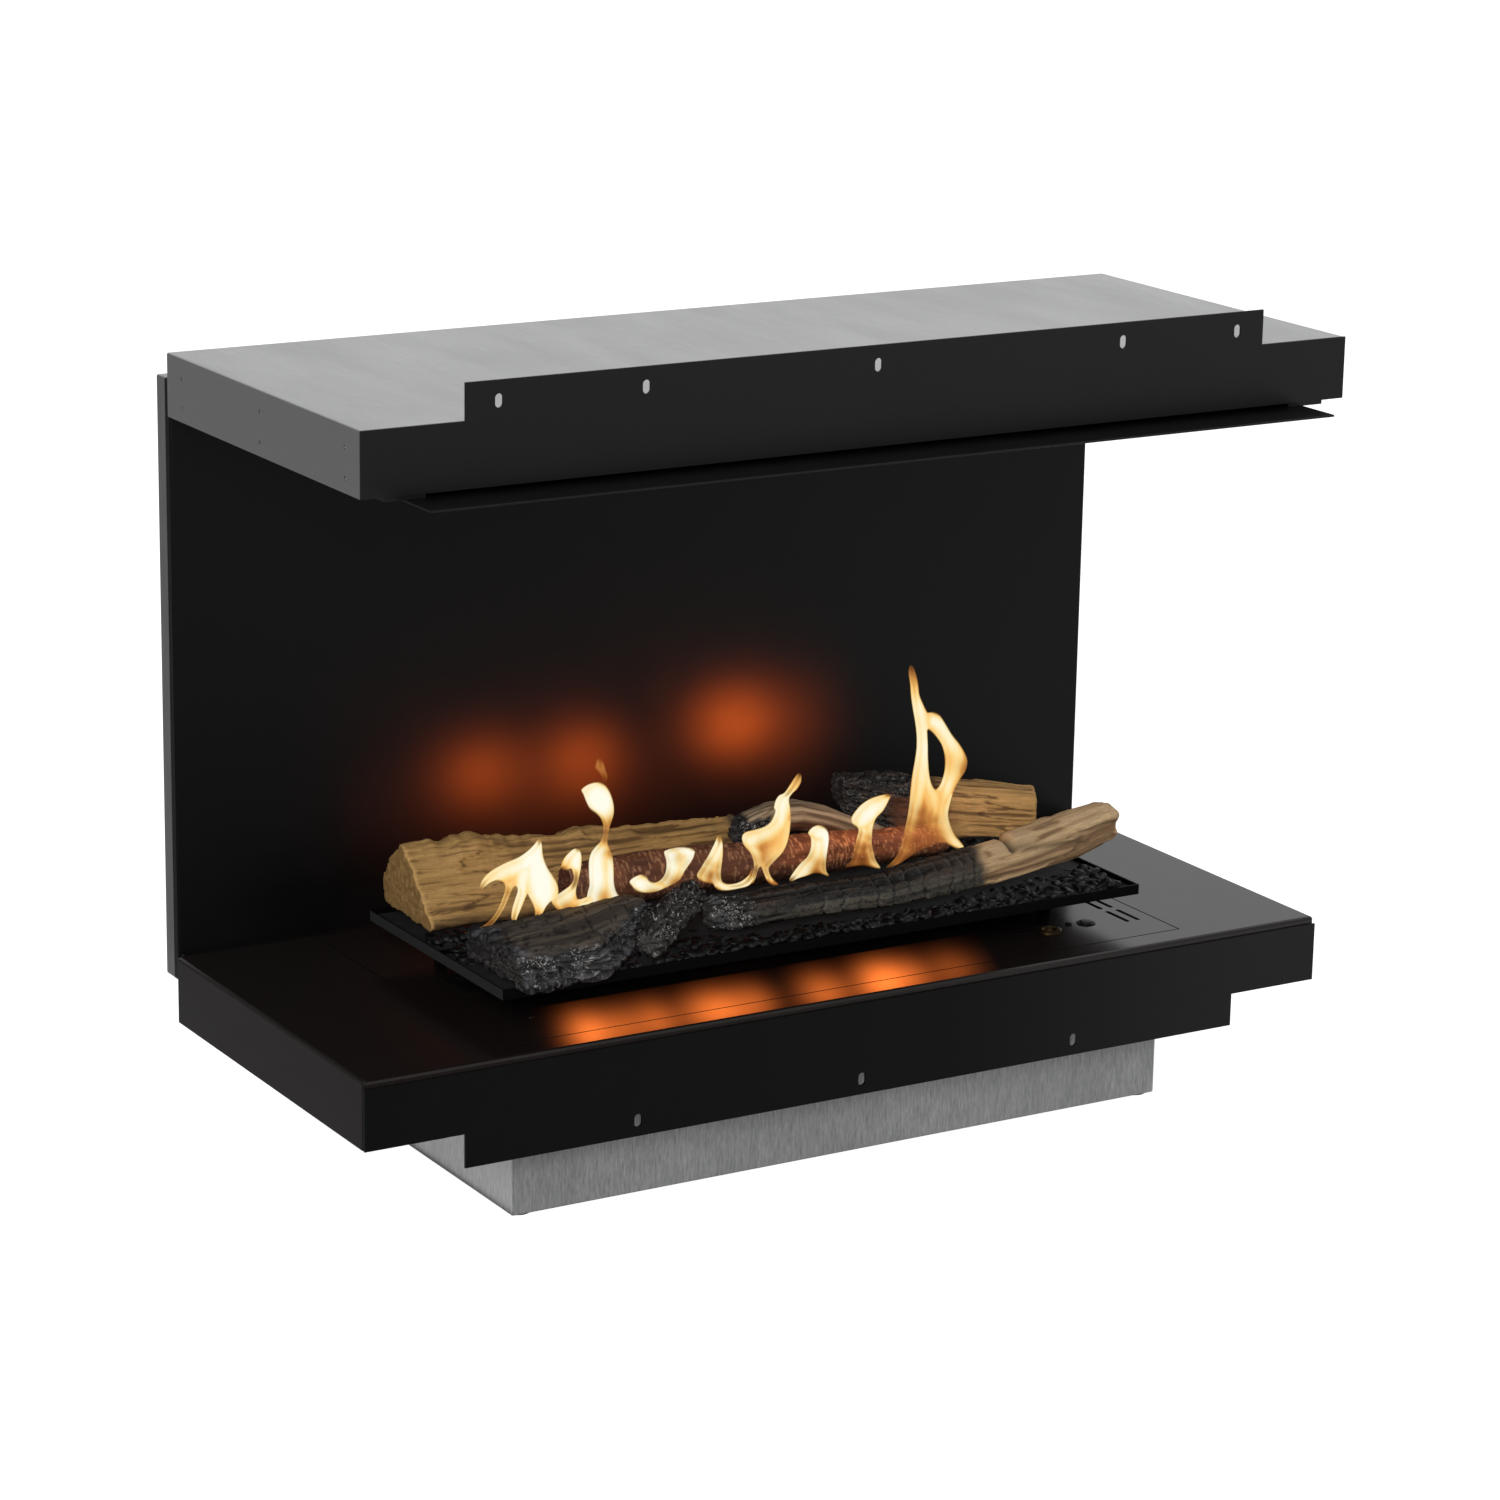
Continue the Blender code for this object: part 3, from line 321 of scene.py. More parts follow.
galv_top = brushed("galvanised_hood", (330, 26, 330), (0.695, 0.70, 0.70), 0.42, 0.10, 2.6, (26, 5, 26), 0.065, flat=True)
galv_plinth = brushed("galvanised_plinth", (620, 620, 75), (0.52, 0.523, 0.526), 0.45, 0.32, 1.8, (16, 16, 7), 0.05, 0.60)
galv_shell = brushed("galvanised_shell", (430, 430, 16), (0.60, 0.605, 0.61), 0.44, 0.14)
paint_fascia = painted("black_fascia", (0.0030, 0.0030, 0.0031), 0.40)
# lower fascia: up to ten times lighter towards the right, a painted reflection of the bright studio on that side
paint_low = painted("black_fascia_low", (0.0018, 0.0018, 0.0019), 0.40, ior=1.30, along=(0.06, 0.50, 10.0))
paint_panel = painted("black_panel", (0.0022, 0.0022, 0.0024), 0.37, grain=600.0, ior=1.36)
paint_hearth = painted("black_hearth", (0.0140, 0.0102, 0.0092), 0.18, peel=0.00002, grain=500.0, vary=0.025)
# log tray: its left-facing faces at the left end are 27 times lighter, a painted sheen
paint_tray = painted("black_tray", (0.0014, 0.0014, 0.0014), 0.50, ior=1.18, side=27.0)
sooted = metal("sooted_steel", (0.035, 0.032, 0.030), 0.62)
screw_black = metal("blackened_screw", (0.022, 0.021, 0.021), 0.55, (900, 900, 900))

MATERIALS = {
    "galvanised_steel": galv_shell,
    "black_paint": paint_fascia,
    "black_hearth_paint": paint_hearth,
    "stainless_steel": metal("stainless", (0.58, 0.57, 0.55), 0.32),
    "brass": metal("brass_turned", (0.25, 0.165, 0.070), 0.36, (900, 900, 900)),
    "black_plastic": plain("black_moulding", (0.012, 0.012, 0.013), 0.38),
    "rubber": plain("rubber_foot", (0.022, 0.022, 0.022), 0.80, depth=0.0002),
    "smoked_window": plain("smoked_glass", (0.006, 0.006, 0.008), 0.08),
    "circuit_board": plain("board_lacquer", (0.02, 0.13, 0.06), 0.35, (0.03, 0.20, 0.09), 300.0),
    "white_ceramic": plain("ceramic_body", (0.72, 0.69, 0.62), 0.45),
    "copper_tube": metal("copper_drawn", (0.70, 0.34, 0.20), 0.30),
    "ember_gravel": plain("gravel_bed", (0.016, 0.0155, 0.015), 0.75, (0.006, 0.006, 0.006), 420.0, 0.0006),
}
BY_NODE = {
    "hood_shell": galv_top, "hood_rail_front": galv_top, "hood_rail_middle": galv_top, "hood_rail_rear": galv_top,
    "burner_housing": galv_plinth, "back_panel": paint_panel, "log_tray": paint_tray,
    "tray_post_front_left": paint_tray, "tray_post_rear_left": paint_tray,
    "tray_post_front_right": paint_tray, "tray_post_rear_right": paint_tray,
    "burner_top_plate": paint_hearth, "hearth_pan": paint_hearth, "burner_trough": sooted,
    "hearth_fascia": paint_low,
    "plate_screw_left": screw_black, "plate_screw_right": screw_black,
}
for name, node in NODES.items():
    slots = node.material_slots
    for k in range(len(slots)):
        old = slots[k].material.name.split(".")[0] if slots[k].material else ""
        if name in BY_NODE:
            slots[k].material = BY_NODE[name]
        elif old in MATERIALS:
            slots[k].material = MATERIALS[old]


def mesh_object(name, points, faces, mats, smooth=True, attributes=()):
    """points is an array of (n, 3), faces a list of arrays (m, 3) or (m, 4)."""
    me = bpy.data.meshes.new(name)
    points = np.asarray(points, np.float32)
    flat = [np.asarray(f, np.int32) for f in faces if len(f)]
    sizes = np.concatenate([np.full(len(f), f.shape[1], np.int32) for f in flat])
    loops = np.concatenate([f.ravel() for f in flat])
    me.vertices.add(len(points))
    me.vertices.foreach_set("co", points.ravel())
    me.loops.add(len(loops))
    me.loops.foreach_set("vertex_index", loops)
    me.polygons.add(len(sizes))
    me.polygons.foreach_set("loop_start", np.concatenate([[0], np.cumsum(sizes)[:-1]]).astype(np.int32))
    me.polygons.foreach_set("loop_total", sizes)
    me.update(calc_edges=True)
    if smooth:
        me.polygons.foreach_set("use_smooth", np.ones(len(sizes), bool))
    for key, kind, data in attributes:
        a = me.attributes.new(key, kind, "POINT")
        data = np.asarray(data, np.float32)
        a.data.foreach_set({"FLOAT": "value", "FLOAT_VECTOR": "vector", "FLOAT_COLOR": "color"}[kind], data.ravel())
    for m in mats:
        me.materials.append(m)
    me.validate()
    o = bpy.data.objects.new(name, me)
    scene.collection.objects.link(o)
    return o


# ------------------------------------------------------------------ logs
def wood_material():
    """Ceramic cast as wood: the broad colouring is on the surface, with fibres and soot laid over it, and near-white
    painted glints standing in for highlights on the char.
    """
    g = Graph("cast_wood")
    tone = g.node("ShaderNodeAttribute", attribute_name="tone", attribute_type="GEOMETRY").outputs["Color"]
    burnt = g.node("ShaderNodeAttribute", attribute_name="burnt", attribute_type="GEOMETRY").outputs["Fac"]
    grain = g.node("ShaderNodeAttribute", attribute_name="grain", attribute_type="GEOMETRY").outputs["Vector"]
    fibre = g.noise(g.place((45, 1300, 1300), grain), 1.0, 3.0, 0.6)
    pores = g.noise(g.place((260, 2400, 2400), grain), 1.0, 2.0, 0.6)
    grit = g.noise(g.place((1500, 1500, 1500), grain), 1.0, 2.0, 0.6)
    lines = g.remap(fibre, 0.28, 0.72, 0.72, 1.22)
    dots = g.remap(pores, 0.30, 0.55, 0.80, 1.03)
    wooden = g.math("MULTIPLY", lines, dots)
    sooty = g.remap(grit, 0.40, 0.78, 0.60, 2.1)
    k = g.node("ShaderNodeMix", data_type="FLOAT")
    g.link(burnt, k.inputs[0])
    g.link(wooden, k.inputs[2])
    g.link(sooty, k.inputs[3])
    c = g.node("ShaderNodeVectorMath", operation="SCALE")
    g.link(tone, c.inputs[0])
    g.link(k.outputs[0], c.inputs["Scale"])
    rough = g.node("ShaderNodeMix", data_type="FLOAT")
    g.link(burnt, rough.inputs[0])
    g.link(g.remap(fibre, 0.3, 0.7, 0.66, 0.80), rough.inputs[2])
    g.link(g.remap(grit, 0.35, 0.75, 0.62, 0.36), rough.inputs[3])
    height = g.math("ADD", g.math("MULTIPLY", fibre, 0.7), g.math("MULTIPLY", grit, 0.5))
    painted_glint = g.node("ShaderNodeAttribute", attribute_name="painted_glint", attribute_type="GEOMETRY").outputs["Fac"]
    chips = g.noise(g.place((640, 640, 640), grain), 1.0, 2.0, 0.5)
    where = g.noise(g.place((120, 120, 120), grain), 1.0, 2.0, 0.5)
    # painted highlights: near-white glints, in clusters, mixed into the colour where the logs ask for them
    glint = g.math("MULTIPLY", painted_glint, g.remap(chips, 0.56, 0.62, 0.0, 1.0), True)
    glint = g.math("MULTIPLY", glint, g.remap(where, 0.44, 0.60, 0.06, 1.0), True)
    colour = g.mix(glint, c.outputs[0], (0.52, 0.50, 0.47))
    return g.surface(colour, rough.outputs[0], 0.0, g.bump(height, 0.0007, 0.55))


WOOD = wood_material()

TAN_LIGHT = np.array(srgb(218, 172, 105))
TAN_MID = np.array(srgb(182, 137, 76))
TAN_DARK = np.array(srgb(100, 70, 38))
PALE_LIGHT = np.array(srgb(240, 203, 154))
PALE_MID = np.array(srgb(210, 167, 116))
BROWN_RED = np.array(srgb(112, 66, 46))
GREY_TAN = np.array(srgb(150, 132, 112))
CHAR = np.array(srgb(34, 31, 30))
CHAR_TOP = np.array(srgb(66, 63, 62))
BLACK = np.array(srgb(12, 11, 11))


def section_points(outline, count):
    """Points round a section at evenly spaced angles, as (across, up), and those angles."""
    n = len(outline)
    angles = np.linspace(0, math.tau, 1440, endpoint=False)
    out = []
    for a in angles:
        c, s = math.cos(a), math.sin(a)
        best = 1.0
        for i in range(n):
            (x0, y0), (x1, y1) = outline[i], outline[(i + 1) % n]
            dx, dy = x1 - x0, y1 - y0
            det = c * dy - s * dx
            if abs(det) < 1e-9:
                continue
            r = (x0 * dy - y0 * dx) / det
            k = (x0 * s - y0 * c) / det
            if r > 0 and -1e-6 <= k <= 1 + 1e-6:
                best = r
                break
        out.append((c * best, s * best))
    return np.array(out), angles


def along(path, t):
    path = np.array(path, float)
    n = len(path)
    place = np.clip(np.asarray(t, float), 0, 1) * (n - 1)
    i = np.minimum(place.astype(int), n - 2)
    f = place - i
    f = f * f * (3 - 2 * f) * 0.35 + f * 0.65
    return path[i] + (path[i + 1] - path[i]) * f[:, None]


def timber(name, node, body, path, outline, seed, look, caps, pitch=0.0013, ease=0.0016):
    """One log. look(q) gets arrays: s along, w round (metres), x, y, z, across and up (-1..1), girth (metres round),
    and gives height (metres), tone, burnt and painted glints (bright flecks standing in for highlights). caps says
    whether each end is cut wood (1) or burnt (0).
    """
    fine = along(path, np.linspace(0, 1, 400))
    length = np.linalg.norm(np.diff(fine[:, :3], axis=0), axis=1).sum()
    nt = max(8, int(length / pitch))
    # even steps along the length
    cum = np.concatenate([[0], np.cumsum(np.linalg.norm(np.diff(fine[:, :3], axis=0), axis=1))])
    t = np.interp(np.linspace(0, cum[-1], nt), cum, np.linspace(0, 1, 400))
    p = along(path, t)
    ahead, behind = along(path, t + 0.03), along(path, t - 0.03)
    fwd = ahead[:, :2] - behind[:, :2]
    fwd /= np.linalg.norm(fwd, axis=1)[:, None]
    side = np.stack([-fwd[:, 1], fwd[:, 0], np.zeros(nt)], 1)
    pts, angles = section_points(outline, 0)
    mid = p[nt // 2]
    scaled = pts * mid[3:5]
    closed = np.vstack([scaled, scaled[:1]])
    arc = np.concatenate([[0], np.cumsum(np.linalg.norm(np.diff(closed, axis=0), axis=1))])
    girth = arc[-1]
    na = max(12, int(girth / pitch))
    where = np.linspace(0, girth, na, endpoint=False)
    ang = np.interp(where, arc, np.append(angles, math.tau))
    sec = np.stack([np.interp(where, arc, np.append(pts[:, k], pts[0, k])) for k in (0, 1)], 1)
    reach = max(1, int(ease / (girth / na)))
    for _ in range(3):
        sec = sum(np.roll(sec, d, 0) for d in range(-reach, reach + 1)) / (2 * reach + 1)
    lump = np.empty((nt, na))
    for i in range(nt):
        for j in range(0, na):
            lump[i, j] = noise.noise(Vector((math.cos(ang[j]) * 1.3, math.sin(ang[j]) * 1.3, t[i] * 6 + seed))) if j % 4 == 0 else 0
    for j in range(na):
        if j % 4:
            a, b = j - j % 4, (j - j % 4 + 4) % na if (j - j % 4 + 4) < na else 0
            lump[:, j] = lump[:, a] + (lump[:, b] - lump[:, a]) * (j % 4) / 4
    r = 1 + 0.07 * lump
    across, up = sec[None, :, 0] * r, sec[None, :, 1] * r
    wide, high = p[:, 3:4], p[:, 4:5]
    grid = (p[:, None, :3] + np.array([0, FRONT, HEARTH]) + side[:, None] * (across * wide)[..., None]
            + np.array([0, 0, 1.0]) * (up * high)[..., None])
    ds = np.gradient(grid, axis=0)
    dw = np.roll(grid, -1, 1) - np.roll(grid, 1, 1)
    normal = np.cross(dw, ds)
    normal /= np.maximum(np.linalg.norm(normal, axis=2), 1e-12)[..., None]
    outward = grid - (p[:, None, :3] + np.array([0, FRONT, HEARTH]))
    if (normal * outward).sum() < 0:
        normal = -normal
    s = (np.linspace(0, cum[-1], nt))[:, None] + 0 * across
    q = {"s": s, "w": where[None] + 0 * across, "x": grid[..., 0], "y": grid[..., 1], "z": grid[..., 2],
         "across": sec[None, :, 0] + 0 * across, "up": sec[None, :, 1] + 0 * across, "girth": girth,
         "ox": across * wide, "oz": up * high, "length": cum[-1], "n": normal}
    height, tone, burnt, painted_glint = look(q)
    # ends: the last few millimetres turn in, with a painted pale highlight on the rim round a cut end, and a crumbled
    # burnt one
    cut = np.where(s < cum[-1] / 2, caps[0], caps[1])
    edge = np.minimum(s, cum[-1] - s)
    rim_highlight = (1 - step(0.0012, 0.0034, edge)) * cut * (1 - burnt)
    tone = blend(tone, TAN_LIGHT * 1.08, rim_highlight * 0.75)
    crumble = layers(grid[..., 0] * 130, grid[..., 1] * 130, grid[..., 2] * 130, int(seed) + 60, 3)
    height = height - 0.0009 * (1 - step(0, 0.0026, edge)) + (1 - cut) * (1 - step(0.002, 0.014, edge)) * (0.0036 * crumble - 0.0020)
    body_pts = grid + normal * height[..., None]
    grain = np.stack([s, across * wide, up * high], 2)
    V = [body_pts.reshape(-1, 3)]
    T = [tone.reshape(-1, 3)]
    B = [burnt.reshape(-1)]
    G = [grain.reshape(-1, 3)]
    K = [painted_glint.reshape(-1)]
    idx = np.arange(nt * na).reshape(nt, na)
    nxt = np.roll(idx, -1, 1)
    quads = [np.stack([idx[:-1], nxt[:-1], nxt[1:], idx[1:]], -1).reshape(-1, 4)]
    tris = []
    count = nt * na
    for end, ring in ((0, 0), (1, nt - 1)):
        rim = body_pts[ring]
        c = rim.mean(0)
        axis = np.array([fwd[ring, 0], fwd[ring, 1], 0]) * (-1 if end == 0 else 1)
        size = np.linalg.norm(rim - c, axis=1).mean()
        rings = max(3, int(size / (pitch * 1.3)))
        last = idx[ring]
        for k in range(1, rings):
            f = 1 - k / rings
            pos = c + (rim - c) * f
            ox, oz = (across * wide)[ring] * f, (up * high)[ring] * f
            rad = np.hypot(ox + 0.012, oz + 0.006)
            wob = layers(ox * 300, oz * 300, seed, int(seed) + 3, 3)
            saw = layers(ox * 700, oz * 60, seed, int(seed) + 5, 2)
            out = 0.0010 * (1 - f ** 6) + 0.0008 * wob + (0.0022 * wob if not caps[end] else 0.0003 * saw)
            pos = pos + axis[None] * out[:, None]
            col = blend(TAN_MID * 0.62, TAN_LIGHT * 0.78, np.clip(0.45 + 0.6 * wob + 0.3 * saw, 0, 1))
            bb = burnt[ring] if caps[end] else np.ones(na)
            ashes = blend(CHAR * 0.8, CHAR_TOP, np.clip(0.4 + 0.8 * wob, 0, 1))
            if look is look_centre:
                ashes = blend(BROWN_RED * 0.55, BROWN_RED * 1.1, np.clip(0.4 + 0.8 * wob, 0, 1))
            col = blend(col, ashes, bb)
            V.append(pos)
            T.append(col)
            B.append(bb)
            K.append(painted_glint[ring] * 0.7)
            G.append(np.stack([np.full(na, s[ring, 0]) + rad * 8, ox, oz], 1))
            here = np.arange(count, count + na)
            a, b = last, here
            q4 = np.stack([a, np.roll(a, -1), np.roll(b, -1), b], -1)
            quads.append(q4[:, ::-1] if end == 0 else q4)
            last = here
            count += na
        middle = burnt[ring].mean() if caps[end] else 1.0
        V.append((c + axis * 0.001)[None])
        T.append(blend(TAN_MID, CHAR, np.array([middle])))
        B.append(np.array([middle]))
        K.append(np.zeros(1))
        G.append(np.array([[s[ring, 0], 0, 0]]))
        tri = np.stack([last, np.roll(last, -1), np.full(na, count)], -1)
        tris.append(tri[:, ::-1] if end == 0 else tri)
        count += 1
    V, T, B, G, K = (np.concatenate(a) for a in (V, T, B, G, K))
    faces = [np.concatenate(quads), np.concatenate(tris)]
    # outward facing
    a, b, c4 = (V[faces[0][:, k]] for k in (0, 1, 2))
    nn = np.cross(b - a, c4 - a)
    mid3 = (a + c4) / 2
    core = np.array([p[:, 0].mean(), p[:, 1].mean() + FRONT, p[:, 2].mean() + HEARTH])
    first = len(quads[0])
    flat_out = outward[:-1].reshape(-1, 3)
    if (nn[:first] * flat_out).sum() < 0:
        faces = [f[:, ::-1] for f in faces]
    o = mesh_object(name, V, faces, [WOOD], True, [
        ("tone", "FLOAT_COLOR", np.concatenate([T, np.ones((len(T), 1))], 1)),
        ("burnt", "FLOAT", B), ("painted_glint", "FLOAT", K), ("grain", "FLOAT_VECTOR", G)])
    o.visible_glossy = False
    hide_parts(node)
    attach(o, body)
    return o


def split_grain(q, seed, tall=1.0):
    """Height and lightness of split wood, and its checks: long fibres and torn steps."""
    s, ox, oz = q["s"], q["ox"], q["oz"]
    bend = 0.0018 * lumps(s * 9, 0, 0, seed + 2)
    fine = layers(s * 14, (ox + bend) * 420, (oz + bend) * 420, seed, 3)
    mid = layers(s * 6, (ox + bend) * 170, (oz + bend) * 170, seed + 3, 3)
    torn = layers(s * 9, (ox + bend) * 80, (oz + bend) * 80, seed + 6, 2)
    ledge = step(-0.05, 0.05, torn) - 0.5
    big = layers(s * 22, ox * 45, oz * 45, seed + 8, 3)
    check = layers(s * 3, (ox + bend * 0.6) * 260, (oz + bend * 0.6) * 260, seed + 12, 2)
    crack = step(0.33, 0.47, check)
    seam = 1 - step(0.0, 0.085, np.abs(torn))
    h = (0.00040 * fine + 0.0007 * mid + 0.0011 * ledge + 0.0010 * big) * tall - 0.0009 * crack - 0.0005 * seam
    light = 0.55 + 0.85 * mid + 0.60 * fine + 0.26 * ledge - 0.55 * seam
    return h, np.clip(light, 0, 1), crack


def tan_tone(light, crack, q, seed, mid=TAN_MID, top=TAN_LIGHT, deep=TAN_DARK):
    warm = layers(q["s"] * 9, q["ox"] * 40, q["oz"] * 40, seed + 30, 2)
    c = blend(mid, top, light)
    c = blend(c, deep, step(0.44, 0.04, light) * 0.72)
    c = c * (1 + 0.10 * warm)[..., None]
    return blend(c, deep * 0.62, crack * 0.68)


def char_scales(q, seed, long=0.012, broad=0.007, deep=0.0016):
    """Height, crack and flake number of charred wood: raised blocks parted by cracks."""
    rounds = max(3, int(round(q["girth"] / broad)))
    v = q["w"] / q["girth"] * rounds
    wob = layers(q["s"] * 120, q["ox"] * 120, q["oz"] * 120, seed, 2)
    u = q["s"] / long + 0.30 * wob
    d1, d2, who = scales(u, v + 0.25 * wob, seed, rounds)
    gap = d2 - d1
    crack = 1 - step(0.03, 0.22, gap)
    dome = step(0.0, 0.75, gap)
    fibre = layers(q["s"] * 60, q["ox"] * 700, q["oz"] * 700, seed + 4, 2)
    grit = layers(q["s"] * 520, q["ox"] * 520, q["oz"] * 520, seed + 5, 2)
    h = deep * (0.55 * dome - 0.9 * crack + 0.35 * (who - 0.5)) + 0.00045 * fibre + 0.00055 * grit
    return h, crack, who, fibre, grit


def char_tone(crack, who, fibre, grit, top=CHAR_TOP, low=CHAR):
    c = blend(low, top, np.clip(0.26 + 0.90 * (who - 0.5) + 0.50 * fibre + 0.30 * grit, 0, 1))
    return blend(c, BLACK, crack * 0.9)


def front_foot(q):
    """The low front corner of a section."""
    return step(-0.45, -0.92, q["up"]) * step(-0.50, -0.92, q["across"])


def look_rear_left(q):
    h, light, crack = split_grain(q, 101, 1.35)
    x = q["x"]
    top = step(0.35, 0.85, q["up"])
    ragged = layers(x * 60, 0, 0, 141, 3)
    slab = layers(x * 30, q["oz"] * 160, 0, 143, 2)
    crest = 0.0072 * np.exp(-((x + 0.258) / 0.034) ** 2) * (1 + 0.35 * ragged) + 0.0045 * np.exp(-((x + 0.137) / 0.016) ** 2)
    sunk = 0.0020 + 0.0045 * step(-0.115, -0.030, x) * (1 - 0.5 * step(0.0, 0.030, x))
    h = h + top * (0.0022 * ragged + crest - sunk) + 0.0022 * front_foot(q) + 0.0012 * (step(-0.08, 0.08, slab) - 0.5)
    tone = tan_tone(light, crack, q, 101)
    # painted light: the crest of the top is made lighter; painted shade: the underside is made darker
    tone = blend(tone, TAN_LIGHT * 1.05, top * step(0.80, 0.98, q["up"]) * 0.5)
    low = step(-0.70, -0.99, q["up"])
    tone = blend(tone, TAN_DARK * 0.6, low * 0.75)
    hc, cc, who, fb, gr = char_scales(q, 7)
    burnt = step(0.028, 0.046, x + 0.008 * layers(q["s"] * 60, q["ox"] * 60, q["oz"] * 60, 9, 2))
    h = h * (1 - burnt) + hc * burnt
    tone = blend(tone, char_tone(cc, who, fb, gr), burnt)
    return h, tone, burnt * 0.9, 0.3 * burnt


def look_centre(q):
    h, light, crack = split_grain(q, 201, 0.5)
    soft = layers(q["s"] * 26, q["w"] * 60, 0, 207, 3)
    dash = step(0.20, 0.46, layers(q["s"] * 800, q["w"] * 210, 0, 205, 2))
    base = blend(np.array(srgb(88, 50, 32)), np.array(srgb(138, 84, 54)), np.clip(0.5 + 0.7 * soft + 0.3 * (light - 0.5), 0, 1))
    tone = blend(base, np.array(srgb(214, 160, 118)), dash * 0.55)
    # painted shade: the underside is made darker
    tone = blend(tone, np.array(srgb(48, 26, 20)), step(0.0, -0.8, q["up"]) * 0.6)
    # the part under the tallest flames gets a painted warm light from them, and swells a little where the arched log
    # stands over it
    painted_flame_light = step(-0.02, 0.06, q["x"]) * step(-0.6, 0.2, q["up"])
    tone = tone * (1 + painted_flame_light[..., None] * np.array([0.38, 0.20, 0.06]))
    swell = step(0.015, 0.045, q["x"]) * (1 - step(0.120, 0.150, q["x"])) * step(0.10, 0.60, q["up"])
    lump = layers(q["s"] * 60, q["ox"] * 60, q["oz"] * 60, 209, 3)
    return h * 0.5 + 0.0004 * dash + 0.0014 * lump + 0.0030 * swell, tone, np.full(q["s"].shape, 0.35), np.zeros(q["s"].shape)


def look_arched(q):
    h, light, crack = split_grain(q, 301, 0.8)
    hc, cc, who, fb, gr = char_scales(q, 31, 0.009, 0.006, 0.0022)
    x = q["x"] + 0.006 * layers(q["s"] * 70, q["ox"] * 70, q["oz"] * 70, 33, 2)
    burnt = 1 - step(0.038, 0.052, x)
    burnt = burnt * (1 - step(0.50, 0.78, q["up"] + 0.25 * layers(q["s"] * 60, q["ox"] * 60, q["oz"] * 60, 39, 2)) * step(0.018, 0.028, x))
    lump = layers(q["s"] * 90, q["ox"] * 90, q["oz"] * 90, 37, 3)
    low = step(0.10, -0.40, q["up"] + 0.3 * layers(q["s"] * 40, q["ox"] * 60, q["oz"] * 60, 35, 2))
    wood = tan_tone(light, crack, q, 301, np.array(srgb(150, 128, 100)), np.array(srgb(206, 184, 152)), np.array(srgb(84, 62, 44)))
    brown = blend(BROWN_RED * 0.6, BROWN_RED * 1.2, np.clip(0.5 + 0.5 * fb, 0, 1))
    # the lower part turns brown-red: partly burnt colour, partly painted warm light from the flames
    tone = blend(wood, brown, low * 0.85)
    tone = blend(tone, char_tone(cc, who, fb, gr, np.array(srgb(46, 43, 43)), np.array(srgb(16, 15, 15))), burnt)
    h = h * (1 - burnt) + (hc + 0.0028 * lump) * burnt
    return h, tone, np.clip(burnt + 0.3 * low, 0, 1), 0.8 * burnt


def look_rear_right(q):
    h, light, crack = split_grain(q, 401)
    hc, cc, who, fb, gr = char_scales(q, 41, 0.016, 0.0065, 0.0028)
    wob = layers(q["s"] * 45, q["ox"] * 45, q["oz"] * 45, 43, 3)
    x = q["x"] + 0.010 * wob
    left = 1 - step(0.190, 0.212, x)
    cap = step(0.30, 0.65, q["up"] + 0.25 * wob) * (1 - step(0.238, 0.262, x))
    burnt = np.clip(np.maximum(left, cap), 0, 1)
    tan = step(0.246, 0.270, x)
    # this tan is a lighter copy of the shared tan: painted light on this log
    wood = tan_tone(light, crack, q, 401, TAN_MID * (1.40, 1.44, 1.62), TAN_LIGHT * (1.30, 1.31, 1.42))
    # the brown between the char and the tan is partly burnt colour, partly painted warm light from the flames
    brown = blend(np.array(srgb(58, 32, 20)), np.array(srgb(128, 78, 48)), np.clip(0.5 + 0.7 * fb + 0.3 * gr, 0, 1))
    tone = blend(brown, wood, tan)
    tone = blend(tone, char_tone(cc, who, fb, gr, np.array(srgb(74, 64, 58)), np.array(srgb(17, 14, 13))), burnt)
    lump = layers(q["s"] * 80, q["ox"] * 80, q["oz"] * 80, 47, 3)
    h = h * (1 - burnt) + (hc + 0.0016 * lump) * burnt
    return h, tone, np.clip(burnt + 0.35 * (1 - tan), 0, 1), 0.35 * burnt


